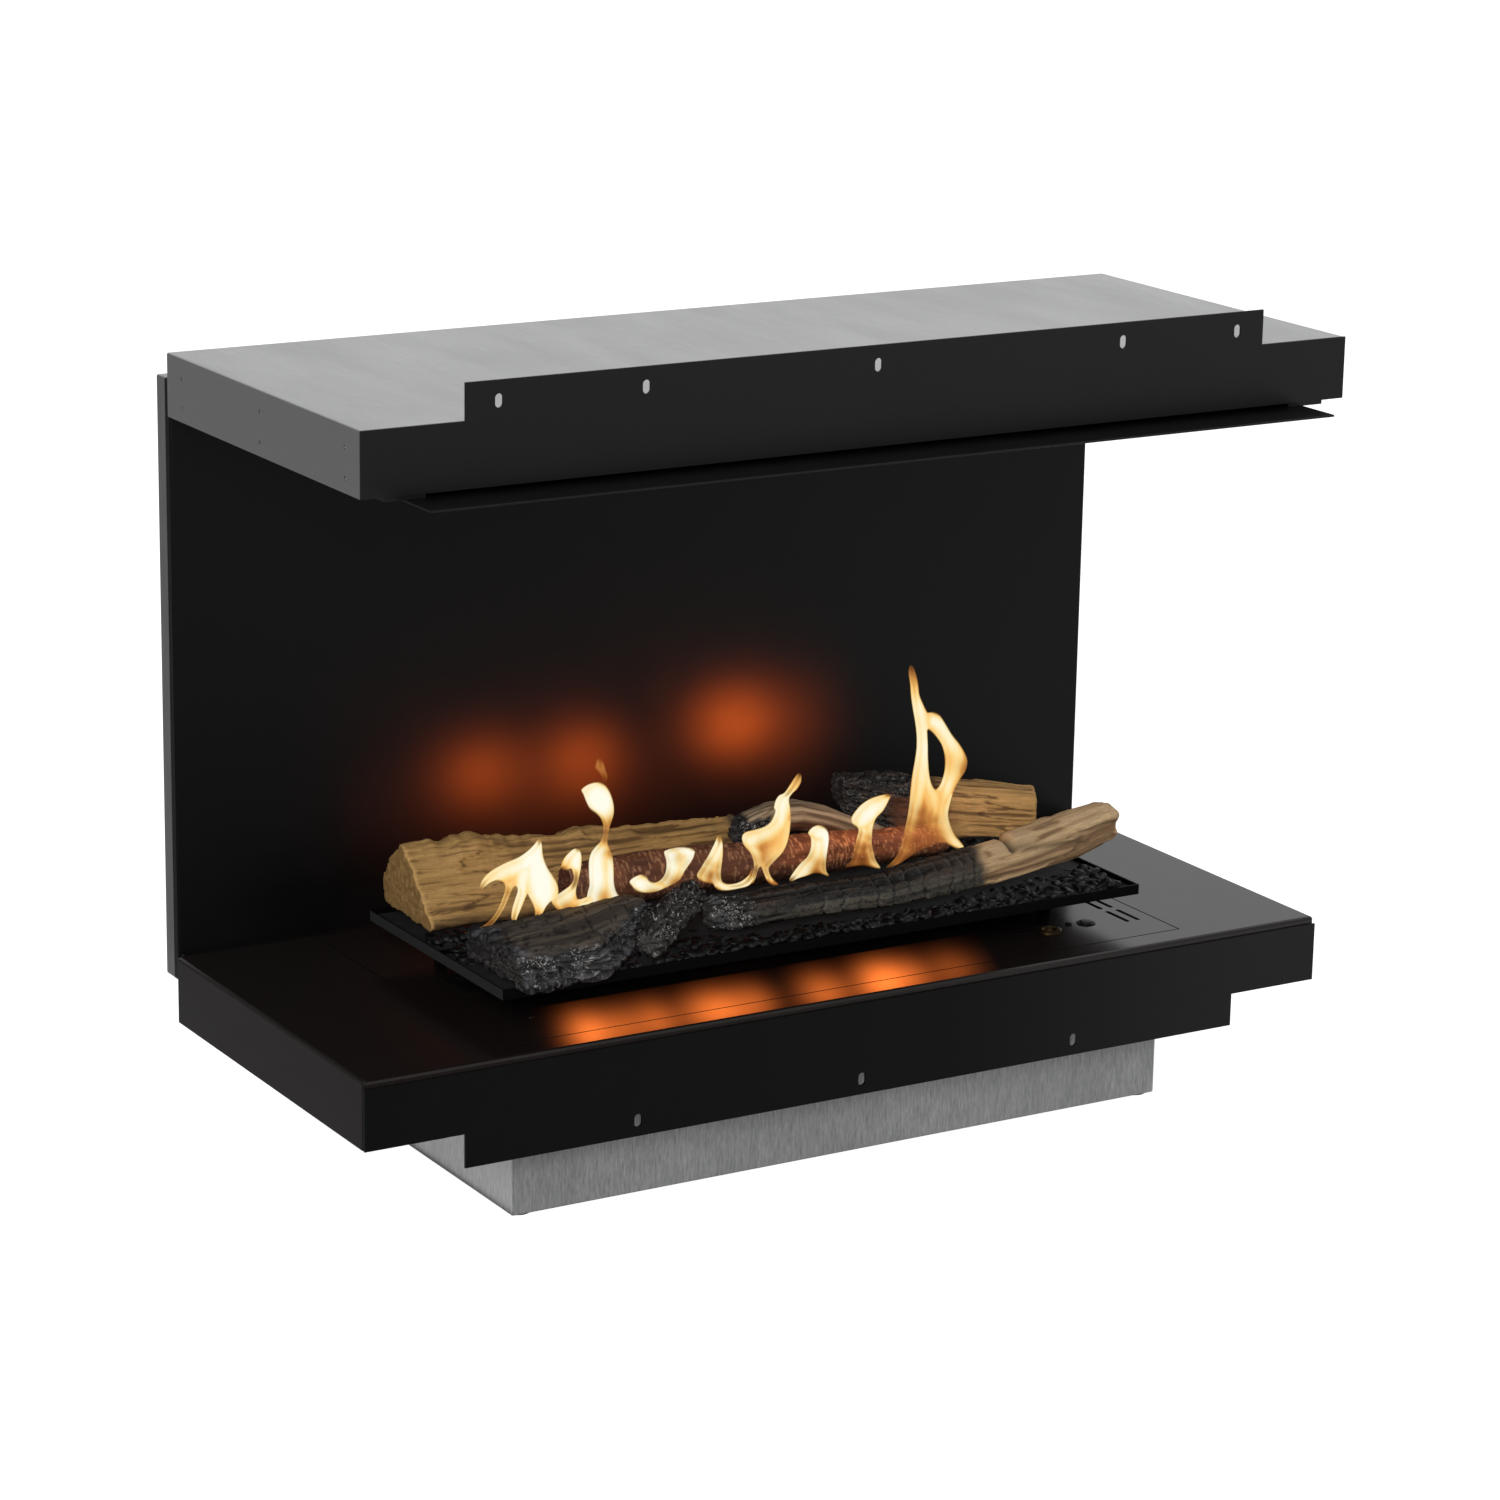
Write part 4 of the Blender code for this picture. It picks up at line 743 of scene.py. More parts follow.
def look_front(q):
    h, light, crack = split_grain(q, 501, 1.25)
    x = q["x"]
    wob = layers(q["s"] * 40, q["ox"] * 50, q["oz"] * 50, 503, 3)
    hc, cc, who, fb, gr = char_scales(q, 51, 0.014, 0.0065, 0.0012)
    rounds = 0
    for at, wide, deep in ((0.031, 0.0010, 0.8), (0.047, 0.0012, 1.0), (0.066, 0.0009, 0.7), (0.083, 0.0011, 1.0),
                           (0.101, 0.0010, 0.8), (0.117, 0.0012, 1.0), (0.134, 0.0009, 0.8), (0.150, 0.0010, 0.7),
                           (-0.012, 0.0009, 0.5), (0.163, 0.0008, 0.6), (0.174, 0.0009, 0.8), (0.012, 0.0008, 0.6)):
        reach = 0.0034 * layers(q["w"] * 90, at * 900, 0, 505, 2)
        part = 0.35 + 0.65 * step(-0.15, 0.25, layers(q["w"] * 45, at * 700, 0, 506, 2) + 0.25 * deep)
        rounds = np.maximum(rounds, deep * part * np.exp(-((x - at - reach) / (wide * 1.60)) ** 2))
    lines = layers(q["s"] * 8, q["ox"] * 260, q["oz"] * 260, 507, 3)
    seam = step(0.26, 0.44, layers(q["s"] * 7, q["ox"] * 140, q["oz"] * 140, 509, 2))
    face = step(0.55, 0.15, q["up"])
    left = 1 - step(-0.078, -0.052, x + 0.4 * 0.010 * wob)
    lump = layers(q["s"] * 95, q["ox"] * 95, q["oz"] * 95, 513, 3)
    low = step(-0.45, -0.9, q["up"])
    hb = (hc * 0.42 - 0.0034 * rounds + 0.0012 * lines - 0.0012 * seam + 0.0012 * lump) * (1 - left) + (hc * 1.2 + 0.0020 * lump) * left
    hb = hb + low * 0.0014 * layers(x * 90, 0, 0, 515, 3)
    tan = step(0.180, 0.196, x + 0.010 * wob)
    k = np.clip(0.42 + 0.85 * lines + 0.35 * gr, 0, 1)
    tone_c = blend(blend(np.array(srgb(40, 32, 27)), np.array(srgb(88, 70, 56)), k),
                   blend(np.array(srgb(20, 18, 16)), np.array(srgb(90, 83, 72)), np.clip(0.40 + 1.35 * lines + 0.50 * gr, 0, 1)), face)
    speck = step(0.30, 0.52, layers(q["s"] * 300, q["ox"] * 420, q["oz"] * 420, 521, 2)) * step(0.15, 0.55, q["up"]) * face
    tone_c = blend(tone_c, np.array(srgb(150, 142, 130)), speck * 0.55)
    # cracks and seams are black; the underside is also blackened in patches: painted shade
    tone_c = blend(tone_c, BLACK, np.clip(rounds * 1.0 + seam * 0.85 + low * 0.6 * step(-0.1, 0.3, lump), 0, 1))
    tone_c = blend(tone_c, char_tone(cc, who, fb, gr, np.array(srgb(84, 82, 82))), left)
    wood = tan_tone(light, crack, q, 501, PALE_MID, PALE_LIGHT, np.array(srgb(136, 102, 72)))
    # a fork of the branch: a notch, then a crease between the two lobes, which ends at a knot
    crease = np.exp(-((q["up"] - 0.70 + (x - 0.229) * 8.6) / 0.15) ** 2) * step(0.222, 0.236, x) * (1 - step(0.310, 0.324, x))
    notch = np.exp(-((x - 0.2265) / 0.0042) ** 2) * step(0.35, 0.75, q["up"])
    lobe = step(0.227, 0.236, x) * step(0.25, 0.70, q["up"])
    knot = np.exp(-((x - 0.318) ** 2 + (q["oz"] - 0.001) ** 2) / 0.0042 ** 2)
    h = hb * (1 - tan) + (h - 0.0020 * crease + 0.0034 * lobe - 0.0045 * notch - 0.0012 * knot) * tan
    # the crease and the notch are darkened, a painted shade; the knot is the wood's own darker colour
    shade = np.clip(crease * 0.55 + notch * 0.85 + knot * 0.6, 0, 1)
    tone = blend(tone_c, blend(wood, np.array(srgb(104, 84, 58)), shade), tan)
    return h, tone, (1 - tan) * 0.9, left * 0.9 + (1 - tan) * 0.06


def look_front_left(q):
    h, light, crack = split_grain(q, 601, 0.8)
    x = q["x"]
    wob = layers(q["s"] * 45, q["ox"] * 50, q["oz"] * 50, 603, 3)
    hc, cc, who, fb, gr = char_scales(q, 61, 0.015, 0.0085, 0.0038)
    # the front edge and the left end are burnt, the top is grey, a strip towards the rear right is tan
    front = step(-0.64, -0.82, q["across"] + 0.18 * wob)
    end = 1 - step(-0.322, -0.300, x + 0.016 * wob)
    lower = step(-0.05, -0.45, q["up"])
    burnt = np.clip(np.maximum(np.maximum(front, lower), end), 0, 1)
    tanness = step(-0.262, -0.222, x + 0.014 * wob) * step(-0.25, 0.35, q["across"])
    grey = blend(np.array(srgb(70, 62, 56)), np.array(srgb(118, 106, 92)), light)
    tan = tan_tone(light, crack, q, 601, np.array(srgb(138, 112, 78)), np.array(srgb(182, 152, 110)))
    top = blend(grey, tan, tanness * 0.85)
    slant = layers((q["s"] + q["ox"]) * 60, (q["ox"] - q["s"]) * 230, 0, 607, 2)
    nick = step(0.34, 0.50, slant) * (1 - burnt)
    top = blend(top, np.array(srgb(40, 34, 30)), nick * 0.85)
    burnt_tone = char_tone(cc, who, fb, gr, np.array(srgb(96, 94, 98)), np.array(srgb(26, 25, 27)))
    tone = blend(top, burnt_tone, burnt)
    lump = layers(q["s"] * 70, q["ox"] * 70, q["oz"] * 70, 609, 3)
    h = h * (1 - burnt) + (hc + 0.0022 * lump) * burnt - 0.0008 * nick + 0.0042 * front_foot(q)
    return h, tone, burnt, 0.9 * front * (1 - lower * 0.4)


def look_cross(q):
    hc, cc, who, fb, gr = char_scales(q, 71, 0.011, 0.0075, 0.0030)
    big = layers(q["s"] * 90, q["ox"] * 90, q["oz"] * 90, 73, 2)
    tone = char_tone(cc, who, fb, gr, np.array(srgb(74, 68, 65)), np.array(srgb(24, 21, 21)))
    return hc + 0.0026 * big, tone, np.full(q["s"].shape, 0.85), np.full(q["s"].shape, 1.0)


QUARTER = [(-1.0, -1.0), (-0.1, -1.0), (0.95, -0.92), (1.02, -0.3), (0.72, 0.55), (0.30, 1.0), (0.05, 0.95)]
SLAB = [(-1.0, -1.0), (0.6, -1.0), (1.0, -0.6), (0.9, 0.6), (0.3, 1.0), (-0.6, 0.8), (-0.95, 0.2)]
BLOCK = [(-1.0, -0.7), (-0.2, -1.0), (0.9, -0.9), (1.0, 0.2), (0.75, 0.9), (-0.1, 1.0), (-0.9, 0.6)]
WEDGE = [(-1.0, -1.0), (0.9, -0.9), (1.0, 0.2), (0.75, 0.9), (-0.1, 1.0), (-0.85, 0.75)]
ROUND = [(math.cos(math.tau * k / 12), math.sin(math.tau * k / 12)) for k in range(12)]

LOGS = (
    ("rear_left", "ceramic_log_tan", QUARTER, 1.0, look_rear_left,
     [(-0.322, 0.2755, 0.0735, 0.0465, 0.0335), (-0.230, 0.2780, 0.0700, 0.0450, 0.0300),
      (-0.110, 0.2845, 0.0665, 0.0385, 0.0265), (0.000, 0.2990, 0.0635, 0.0245, 0.0235),
      (0.040, 0.3030, 0.0625, 0.0190, 0.0220)]),
    ("centre", "ceramic_log_char", ROUND, 12.0, look_centre,
     [(-0.192, 0.2165, 0.0650, 0.0165, 0.0235), (-0.100, 0.2165, 0.0650, 0.0175, 0.0240),
      (0.020, 0.2165, 0.0610, 0.0175, 0.0205), (0.140, 0.2165, 0.0580, 0.0170, 0.0175),
      (0.222, 0.2180, 0.0560, 0.0150, 0.0155)]),
    ("arched", "ceramic_log_grey", ROUND, 23.0, look_arched,
     [(0.012, 0.2590, 0.0790, 0.0140, 0.0145), (0.049, 0.2600, 0.0885, 0.0160, 0.0155),
      (0.080, 0.2600, 0.0870, 0.0160, 0.0155), (0.110, 0.2590, 0.0780, 0.0150, 0.0150),
      (0.140, 0.2580, 0.0650, 0.0140, 0.0140), (0.178, 0.2560, 0.0520, 0.0115, 0.0115)]),
    ("rear_right", "ceramic_log_tan", WEDGE, 34.0, look_rear_right,
     [(0.158, 0.3120, 0.0875, 0.0205, 0.0170), (0.212, 0.3000, 0.0712, 0.0230, 0.0285),
      (0.280, 0.2765, 0.0645, 0.0230, 0.0250), (0.342, 0.2460, 0.0612, 0.0205, 0.0220)]),
    ("front", "ceramic_log_char", BLOCK, 45.0, look_front,
     [(-0.101, 0.1160, 0.0550, 0.0150, 0.0150), (-0.060, 0.1085, 0.0550, 0.0170, 0.0150),
      (0.010, 0.1115, 0.0555, 0.0175, 0.0150), (0.078, 0.1045, 0.0555, 0.0180, 0.0155),
      (0.163, 0.1140, 0.0580, 0.0195, 0.0175), (0.235, 0.1275, 0.0595, 0.0200, 0.0185),
      (0.320, 0.1490, 0.0630, 0.0190, 0.0200), (0.368, 0.1630, 0.0660, 0.0165, 0.0175)]),
    ("front_left", "ceramic_log_char", SLAB, 56.0, look_front_left,
     [(-0.328, 0.0960, 0.0560, 0.0540, 0.0160), (-0.265, 0.1000, 0.0570, 0.0570, 0.0165),
      (-0.205, 0.1310, 0.0570, 0.0365, 0.0165), (-0.145, 0.1640, 0.0550, 0.0150, 0.0140)]),
    ("cross", "ceramic_log_char", ROUND, 67.0, look_cross,
     [(-0.189, 0.0690, 0.0545, 0.0145, 0.0145), (-0.153, 0.1060, 0.0560, 0.0160, 0.0155),
      (-0.120, 0.1380, 0.0570, 0.0155, 0.0155), (-0.088, 0.1640, 0.0590, 0.0145, 0.0145)]),
)
CAPS = {"rear_left": (1, 0), "rear_right": (0, 1), "front": (0, 1)}
for key, slot_name, outline, seed, look, path in LOGS:
    timber("wood_" + key, "log_" + key, key + "_log", path, outline, seed, look, CAPS.get(key, (0, 0)))


# ------------------------------------------------------------------ gravel
def gravel_material():
    g = Graph("gravel_stone")
    tone = g.node("ShaderNodeAttribute", attribute_name="tone", attribute_type="GEOMETRY").outputs["Color"]
    n = g.noise(g.place((700, 700, 700)), 1.0, 3.0, 0.6)
    c = g.node("ShaderNodeVectorMath", operation="SCALE")
    g.link(tone, c.inputs[0])
    g.link(g.remap(n, 0.3, 0.75, 0.65, 1.55), c.inputs["Scale"])
    return g.surface(c.outputs[0], g.remap(n, 0.3, 0.7, 0.30, 0.58), 0.0, g.bump(n, 0.0008, 0.6), 1.40)


STONE = gravel_material()


def on_a_log(x, y, ease=0.0):
    """How far inside the nearest log's footprint, in metres; under 0 outside."""
    best = np.full(np.shape(x), -1.0)
    for *_, path in LOGS:
        p = along(path, np.linspace(0, 1, 60))
        d = np.hypot(x[:, None] - p[None, :, 0], y[:, None] - (p[None, :, 1] + FRONT))
        best = np.maximum(best, (p[None, :, 3] - d).max(1))
    return best


def gravel(name, y_low, y_high, seed):
    rng = np.random.default_rng(seed)
    verts, tris, tones = [], [], []
    base = 0
    x_edge = 0.3305
    spots = []
    for layer, (drop, pitch) in enumerate(((0.0, 0.0112), (0.0016, 0.0165))):
        xs = np.arange(-x_edge + 0.004, x_edge - 0.003, pitch)
        ys = np.arange(y_low + 0.004, y_high - 0.003, pitch)
        if y_low < 0:
            ys = np.append(ys, ys[-1] + pitch)
        gx, gy = np.meshgrid(xs, ys)
        gx, gy = gx.ravel(), gy.ravel()
        gx = gx + rng.uniform(-0.42, 0.42, gx.size) * pitch
        gy = gy + rng.uniform(-0.42, 0.42, gy.size) * pitch
        spots.append(np.stack([gx, gy, np.full(gx.size, drop)], 1))
    spots = np.concatenate(spots)
    inside = on_a_log(spots[:, 0], spots[:, 1])
    for (x, y, lift), deep in zip(spots, inside):
        rx, ry, rz = rng.uniform(0.0058, 0.0118), rng.uniform(0.0050, 0.0092), rng.uniform(0.0034, 0.0058)
        if deep > 0.004 or (y > y_high - 0.001 and -0.312 < x < 0.252):
            continue
        heap = 0.0022 * float(lumps(np.array([x * 22]), np.array([y * 22]), 0.0, seed)[0])
        z = HEARTH + 0.0340 + lift + heap * 0.6
        if deep > -0.007:
            z = min(z, HEARTH + 0.0345)
        x = min(max(x, -x_edge + rx * 0.9), x_edge - rx * 0.9)
        y = min(max(y, y_low + ry * 0.75), (y_high if -0.312 < x < 0.252 else y_high + 0.012) - ry * 0.75)
        cloud = rng.normal(size=(15, 3))
        cloud /= np.linalg.norm(cloud, axis=1)[:, None]
        cloud *= rng.uniform(0.86, 1.0, (15, 1))
        turn = rng.uniform(0, math.tau)
        tilt = rng.uniform(-0.35, 0.35)
        cloud = cloud * (rx, ry, rz)
        ct, st = math.cos(tilt), math.sin(tilt)
        cloud = cloud @ np.array([[ct, 0, st], [0, 1, 0], [-st, 0, ct]])
        c, sn = math.cos(turn), math.sin(turn)
        cloud = cloud @ np.array([[c, -sn, 0], [sn, c, 0], [0, 0, 1]])
        bm = bmesh.new()
        for v in cloud:
            bm.verts.new((v[0] + x, v[1] + y, v[2] + z))
        bmesh.ops.convex_hull(bm, input=bm.verts)
        loose = [v for v in bm.verts if not v.link_faces]
        bmesh.ops.delete(bm, geom=loose, context="VERTS")
        bm.verts.index_update()
        verts.extend(tuple(v.co) for v in bm.verts)
        tris.extend(tuple(v.index + base for v in f.verts) for f in bm.faces)
        shade = (0.0010 + 0.0110 * rng.uniform() ** 3) * (1.0 if rng.uniform() > 0.13 else 2.8)
        tones.extend([(shade, shade * 0.97, shade * 0.94, 1)] * len(bm.verts))
        base += len(bm.verts)
        bm.free()
    v = np.array(verts)
    v[:, 1] = np.clip(v[:, 1], y_low - 0.0005, y_high + 0.0125)
    v[:, 0] = np.clip(v[:, 0], -x_edge - 0.004, x_edge + 0.004)
    o = mesh_object(name, v, [np.array(tris)], [STONE], False, [("tone", "FLOAT_COLOR", tones)])
    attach(o, "tray")
    return o


gravel("gravel_front", -0.1270, -0.0090, 11)
gravel("gravel_rear", 0.0150, 0.1270, 12)


# ------------------------------------------------------------------ flames
def flame_material():
    g = Graph("flame_gas")
    a = g.node("ShaderNodeAttribute", attribute_name="gas", attribute_type="GEOMETRY")
    e = g.node("ShaderNodeEmission")
    g.link(a.outputs["Color"], e.inputs["Color"])
    e.inputs["Strength"].default_value = 1.0
    clear = g.node("ShaderNodeBsdfTransparent")
    m = g.node("ShaderNodeMixShader")
    g.link(a.outputs["Alpha"], m.inputs[0])
    g.link(clear.outputs[0], m.inputs[1])
    g.link(e.outputs[0], m.inputs[2])
    g.link(m.outputs[0], g.out.inputs[0])
    return g.mat


FLAME = flame_material()


def smooth_loop(points, per=6):
    """A closed curve through the points."""
    p = np.array(points, float)
    out = []
    n = len(p)
    for i in range(n):
        a, b, c, d = p[i - 1], p[i], p[(i + 1) % n], p[(i + 2) % n]
        for k in range(per):
            t = k / per
            out.append(0.5 * ((2 * b) + (c - a) * t + (2 * a - 5 * b + 4 * c - d) * t * t
                              + (3 * b - a - 3 * c + d) * t ** 3))
    return np.array(out)


def smooth_line(points, per=6):
    p = np.array(points, float)
    p = np.vstack([2 * p[0] - p[1], p, 2 * p[-1] - p[-2]])
    out = []
    for i in range(1, len(p) - 2):
        a, b, c, d = p[i - 1], p[i], p[i + 1], p[i + 2]
        for k in range(per):
            t = k / per
            out.append(0.5 * ((2 * b) + (c - a) * t + (2 * a - 5 * b + 4 * c - d) * t * t
                              + (3 * b - a - 3 * c + d) * t ** 3))
    out.append(p[-2])
    return np.array(out)


def depth_inside(px, py, loop):
    """Distance to a closed curve, over 0 inside."""
    a, b = loop, np.roll(loop, -1, 0)
    best = np.full(px.shape, 1e9)
    odd = np.zeros(px.shape, bool)
    for (x0, y0), (x1, y1) in zip(a, b):
        dx, dy = x1 - x0, y1 - y0
        l2 = dx * dx + dy * dy + 1e-12
        t = np.clip(((px - x0) * dx + (py - y0) * dy) / l2, 0, 1)
        best = np.minimum(best, (px - x0 - t * dx) ** 2 + (py - y0 - t * dy) ** 2)
        hit = ((y0 > py) != (y1 > py)) & (px < (x1 - x0) * (py - y0) / (y1 - y0 + 1e-12) + x0)
        odd ^= hit
    d = np.sqrt(best)
    return np.where(odd, d, -d)


def ridge(px, py, points):
    """Brightness along a line of (x, y, half_width, strength)."""
    line = smooth_line(points)
    total = np.zeros(px.shape)
    for p0, p1 in zip(line[:-1], line[1:]):
        dx, dy = p1[0] - p0[0], p1[1] - p0[1]
        l2 = dx * dx + dy * dy + 1e-12
        t = np.clip(((px - p0[0]) * dx + (py - p0[1]) * dy) / l2, 0, 1)
        w = np.maximum(p0[2] + (p1[2] - p0[2]) * t, 0.3)
        k = p0[3] + (p1[3] - p0[3]) * t
        d2 = (px - p0[0] - t * dx) ** 2 + (py - p0[1] - t * dy) ** 2
        total = np.maximum(total, k * np.exp(-d2 / (w * w)))
    return total


HEAT = np.array([0.0, 0.22, 0.42, 0.62, 0.80, 1.0])
GLOW = np.array([srgb(206, 112, 46), srgb(236, 152, 70), srgb(252, 190, 100), srgb(255, 222, 148), srgb(255, 242, 200), srgb(255, 253, 236)])


def flame(name, y, outline, ridges=(), dims=(), base=0.52, soft=2.2, body=6.0, holes=(), clear=1.0, sway=0.0, seed=1):
    """One flame. outline, ridges and dims are drawn in the view's places (1500 a side), on the plane at y;
    ridges are (x, y, half_width, strength) lines, dims are (x, y, radius, strength) spots, holes are outlines."""
    loop = smooth_loop(outline)
    gaps = [smooth_loop(h) for h in holes]
    lo, hi = np.floor(loop.min(0)) - 3, np.ceil(loop.max(0)) + 3
    pitch = 0.8
    us, vs = np.arange(lo[0], hi[0], pitch), np.arange(lo[1], hi[1], pitch)
    U, Vv = np.meshgrid(us, vs)
    d = depth_inside(U, Vv, loop)
    for gp in gaps:
        d = np.minimum(d, -depth_inside(U, Vv, gp))
    heat = np.full(U.shape, base)
    lit = np.zeros(U.shape)
    for r in ridges:
        lit = np.maximum(lit, ridge(U, Vv, r))
    heat = heat + lit
    dim = np.zeros(U.shape)
    for x, yy, r, k in dims:
        dim = np.maximum(dim, k * np.exp(-((U - x) ** 2 + (Vv - yy) ** 2) / (r * r)))
    flow = layers(U / 7.0, Vv / 26.0, 0, seed, 3)
    heat = heat * (1 - dim) + 0.10 * flow
    heat = heat * (0.78 + 0.22 * step(0, 3.2, d))
    heat = np.clip(heat, 0, 1)
    alpha = step(-0.6, soft, d) * np.clip((0.48 + 1.05 * heat) * clear, 0, 1) * (1 - 0.75 * dim)
    colour = np.stack([np.interp(heat, HEAT, GLOW[:, k]) for k in range(3)], -1)
    one = 1 - np.sqrt(np.clip(1 - alpha, 0, 1))          # seen through both faces
    keep = d > -1.2
    cells = keep[:-1, :-1] & keep[1:, :-1] & keep[:-1, 1:] & keep[1:, 1:]
    used = np.zeros(U.shape, int)
    for a in (0, 1):
        for b in (0, 1):
            used[a:a + cells.shape[0], b:b + cells.shape[1]] += cells
    inner = used == 4
    there = used > 0
    ids = np.full(U.shape, -1)
    ids[there] = np.arange(there.sum())
    lean = y + sway * np.sin((Vv - lo[1]) / 31.0 + seed)
    k = np.clip(d / body, 0, 1)
    thick = 0.0045 * np.sqrt(1 - (1 - k) ** 2) + 0.0004
    x, z = on_plane(U[there], Vv[there], lean[there])
    front = np.stack([x, lean[there] - thick[there] * inner[there], z], 1)
    n = len(front)
    back_id = ids.copy()
    back_id[inner] = n + np.arange(inner.sum())
    xi, zi = on_plane(U[inner], Vv[inner], lean[inner])
    back = np.stack([xi, lean[inner] + thick[inner], zi], 1)
    ci, cj = np.nonzero(cells)
    f = np.stack([ids[ci, cj], ids[ci, cj + 1], ids[ci + 1, cj + 1], ids[ci + 1, cj]], 1)[:, ::-1]
    b = np.stack([back_id[ci, cj], back_id[ci, cj + 1], back_id[ci + 1, cj + 1], back_id[ci + 1, cj]], 1)
    same = (f[:, ::-1] == b).all(1)
    pts = np.concatenate([front, back])
    rgba = np.concatenate([colour, one[..., None]], -1)
    vals = np.concatenate([rgba[there], rgba[inner]])
    o = mesh_object(name, pts, [np.concatenate([f, b[~same]])], [FLAME], True, [("gas", "FLOAT_COLOR", vals)])
    o.visible_diffuse = False
    o.visible_glossy = False
    o.visible_shadow = False
    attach(o, "casing")
    return o


def left_crop(*points):
    return [(465 + x / 5.6, 655 + y / 5.6, *rest) for x, y, *rest in points]


def right_crop(*points):
    return [(700 + x / 5.502, 650 + y / 5.502, *rest) for x, y, *rest in points]


L, R = left_crop, right_crop

flame("flame_fan", -0.001,
      L((85, 1305), (105, 1255), (150, 1210), (230, 1165), (310, 1130), (370, 1085), (405, 1045), (418, 1032), (427, 1055),
        (434, 1120), (455, 1180), (490, 1235), (512, 1275), (520, 1325), (505, 1365), (478, 1378), (452, 1405),
        (430, 1445), (404, 1480), (380, 1496), (396, 1455), (385, 1405), (362, 1360), (348, 1335), (334, 1362),
        (312, 1415), (290, 1465), (277, 1502), (263, 1478), (266, 1430), (282, 1375), (298, 1325), (290, 1300),
        (268, 1300), (246, 1345), (220, 1405), (184, 1465), (142, 1515), (85, 1545), (10, 1562), (12, 1552),
        (70, 1536), (122, 1506), (168, 1458), (204, 1390), (224, 1330), (226, 1292), (205, 1270), (170, 1262),
        (130, 1278), (100, 1302)),
      [L((110, 1285, 5, .25), (200, 1215, 7, .40), (300, 1175, 8, .50), (380, 1120, 8, .60), (415, 1060, 4, .5)),
       L((390, 1120, 9, .60), (400, 1220, 13, .75), (420, 1320, 13, .70), (430, 1390, 7, .5)),
       L((320, 1220, 9, .5), (310, 1300, 6, .45), (290, 1390, 4, .35), (278, 1470, 3, .25)),
       L((240, 1290, 5, .25), (215, 1390, 3, .18), (160, 1470, 3, .15))],
      L((60, 1548, 12, .5), (140, 1512, 7, .35), (225, 1320, 5, .25)), base=0.42, seed=3)
flame("flame_hook", -0.001,
      L((626, 1084), (600, 1098), (562, 1138), (540, 1192), (562, 1201), (590, 1196), (604, 1212), (613, 1238),
        (612, 1262), (596, 1290), (560, 1318), (520, 1345), (492, 1362), (488, 1385), (504, 1412), (540, 1442),
        (590, 1432), (640, 1412), (690, 1394), (716, 1368), (704, 1352), (680, 1358), (650, 1368), (626, 1360),
        (617, 1325), (622, 1285), (634, 1240), (646, 1180), (648, 1125), (641, 1095)),
      [L((620, 1110, 6, .55), (605, 1160, 7, .6), (632, 1190, 4, .35), (620, 1270, 4, .25), (560, 1345, 7, .5), (520, 1375, 6, .45)),
       L((640, 1392, 4, .35), (700, 1372, 4, .4))],
      L((560, 1410, 7, .35),), base=0.36, body=4.0, seed=5)
flame("flame_column", 0.001,
      L((655, 760), (678, 735), (718, 717), (755, 714), (785, 730), (810, 770), (826, 820), (831, 870), (821, 920),
        (806, 962), (797, 1010), (796, 1050), (811, 1090), (825, 1140), (829, 1200), (830, 1258), (836, 1300),
        (851, 1335), (876, 1366), (842, 1387), (790, 1378), (742, 1388), (702, 1398), (684, 1376), (690, 1332),
        (700, 1290), (697, 1230), (697, 1160), (710, 1110), (738, 1072), (760, 1048), (776, 1010), (778, 962),
        (764, 920), (738, 890), (704, 865), (684, 830), (668, 790)),
      [L((690, 770, 8, .5), (740, 800, 15, .75), (775, 850, 12, .55), (795, 920, 5, .15)),
       L((735, 1095, 8, .5), (722, 1180, 9, .6), (728, 1280, 9, .6), (700, 1370, 7, .5)),
       L((800, 1150, 6, .40), (808, 1250, 7, .5), (830, 1330, 7, .55), (855, 1368, 5, .5)),
       L((770, 1220, 8, .35), (768, 1300, 6, .25))],
      L((788, 1010, 8, .35), (792, 1110, 5, .30), (775, 1350, 8, .35), (806, 930, 6, .2)), base=0.40, seed=7)
flame("flame_wisp", 0.002,
      L((752, 578), (770, 600), (782, 640), (792, 672), (783, 718), (772, 690), (755, 662), (735, 640), (740, 608)),
      [L((758, 610, 5, .25), (772, 660, 5, .15))], (), base=0.14, clear=0.55, soft=3.0, body=3.0, seed=8)
flame("flame_curl", -0.001,
      L((924, 1275), (944, 1250), (988, 1230), (1012, 1240), (1032, 1264), (1070, 1274), (1108, 1252), (1128, 1212),
        (1131, 1160), (1118, 1108), (1140, 1090), (1190, 1078), (1242, 1078), (1281, 1090), (1276, 1130),
        (1254, 1168), (1228, 1206), (1206, 1246), (1180, 1272), (1124, 1300), (1062, 1325), (1002, 1331),
        (960, 1320), (938, 1298)),
      [L((955, 1270, 8, .55), (1000, 1285, 9, .60), (1070, 1300, 6, .45)),
       L((1150, 1120, 8, .6), (1150, 1190, 7, .55), (1120, 1260, 6, .45)),
       L((1200, 1092, 5, .5), (1255, 1105, 7, .6), (1220, 1170, 6, .4), (1180, 1240, 4, .2))],
      L((1192, 1135, 6, .30), (1165, 1270, 8, .4), (1040, 1320, 6, .25)), base=0.40, seed=9)
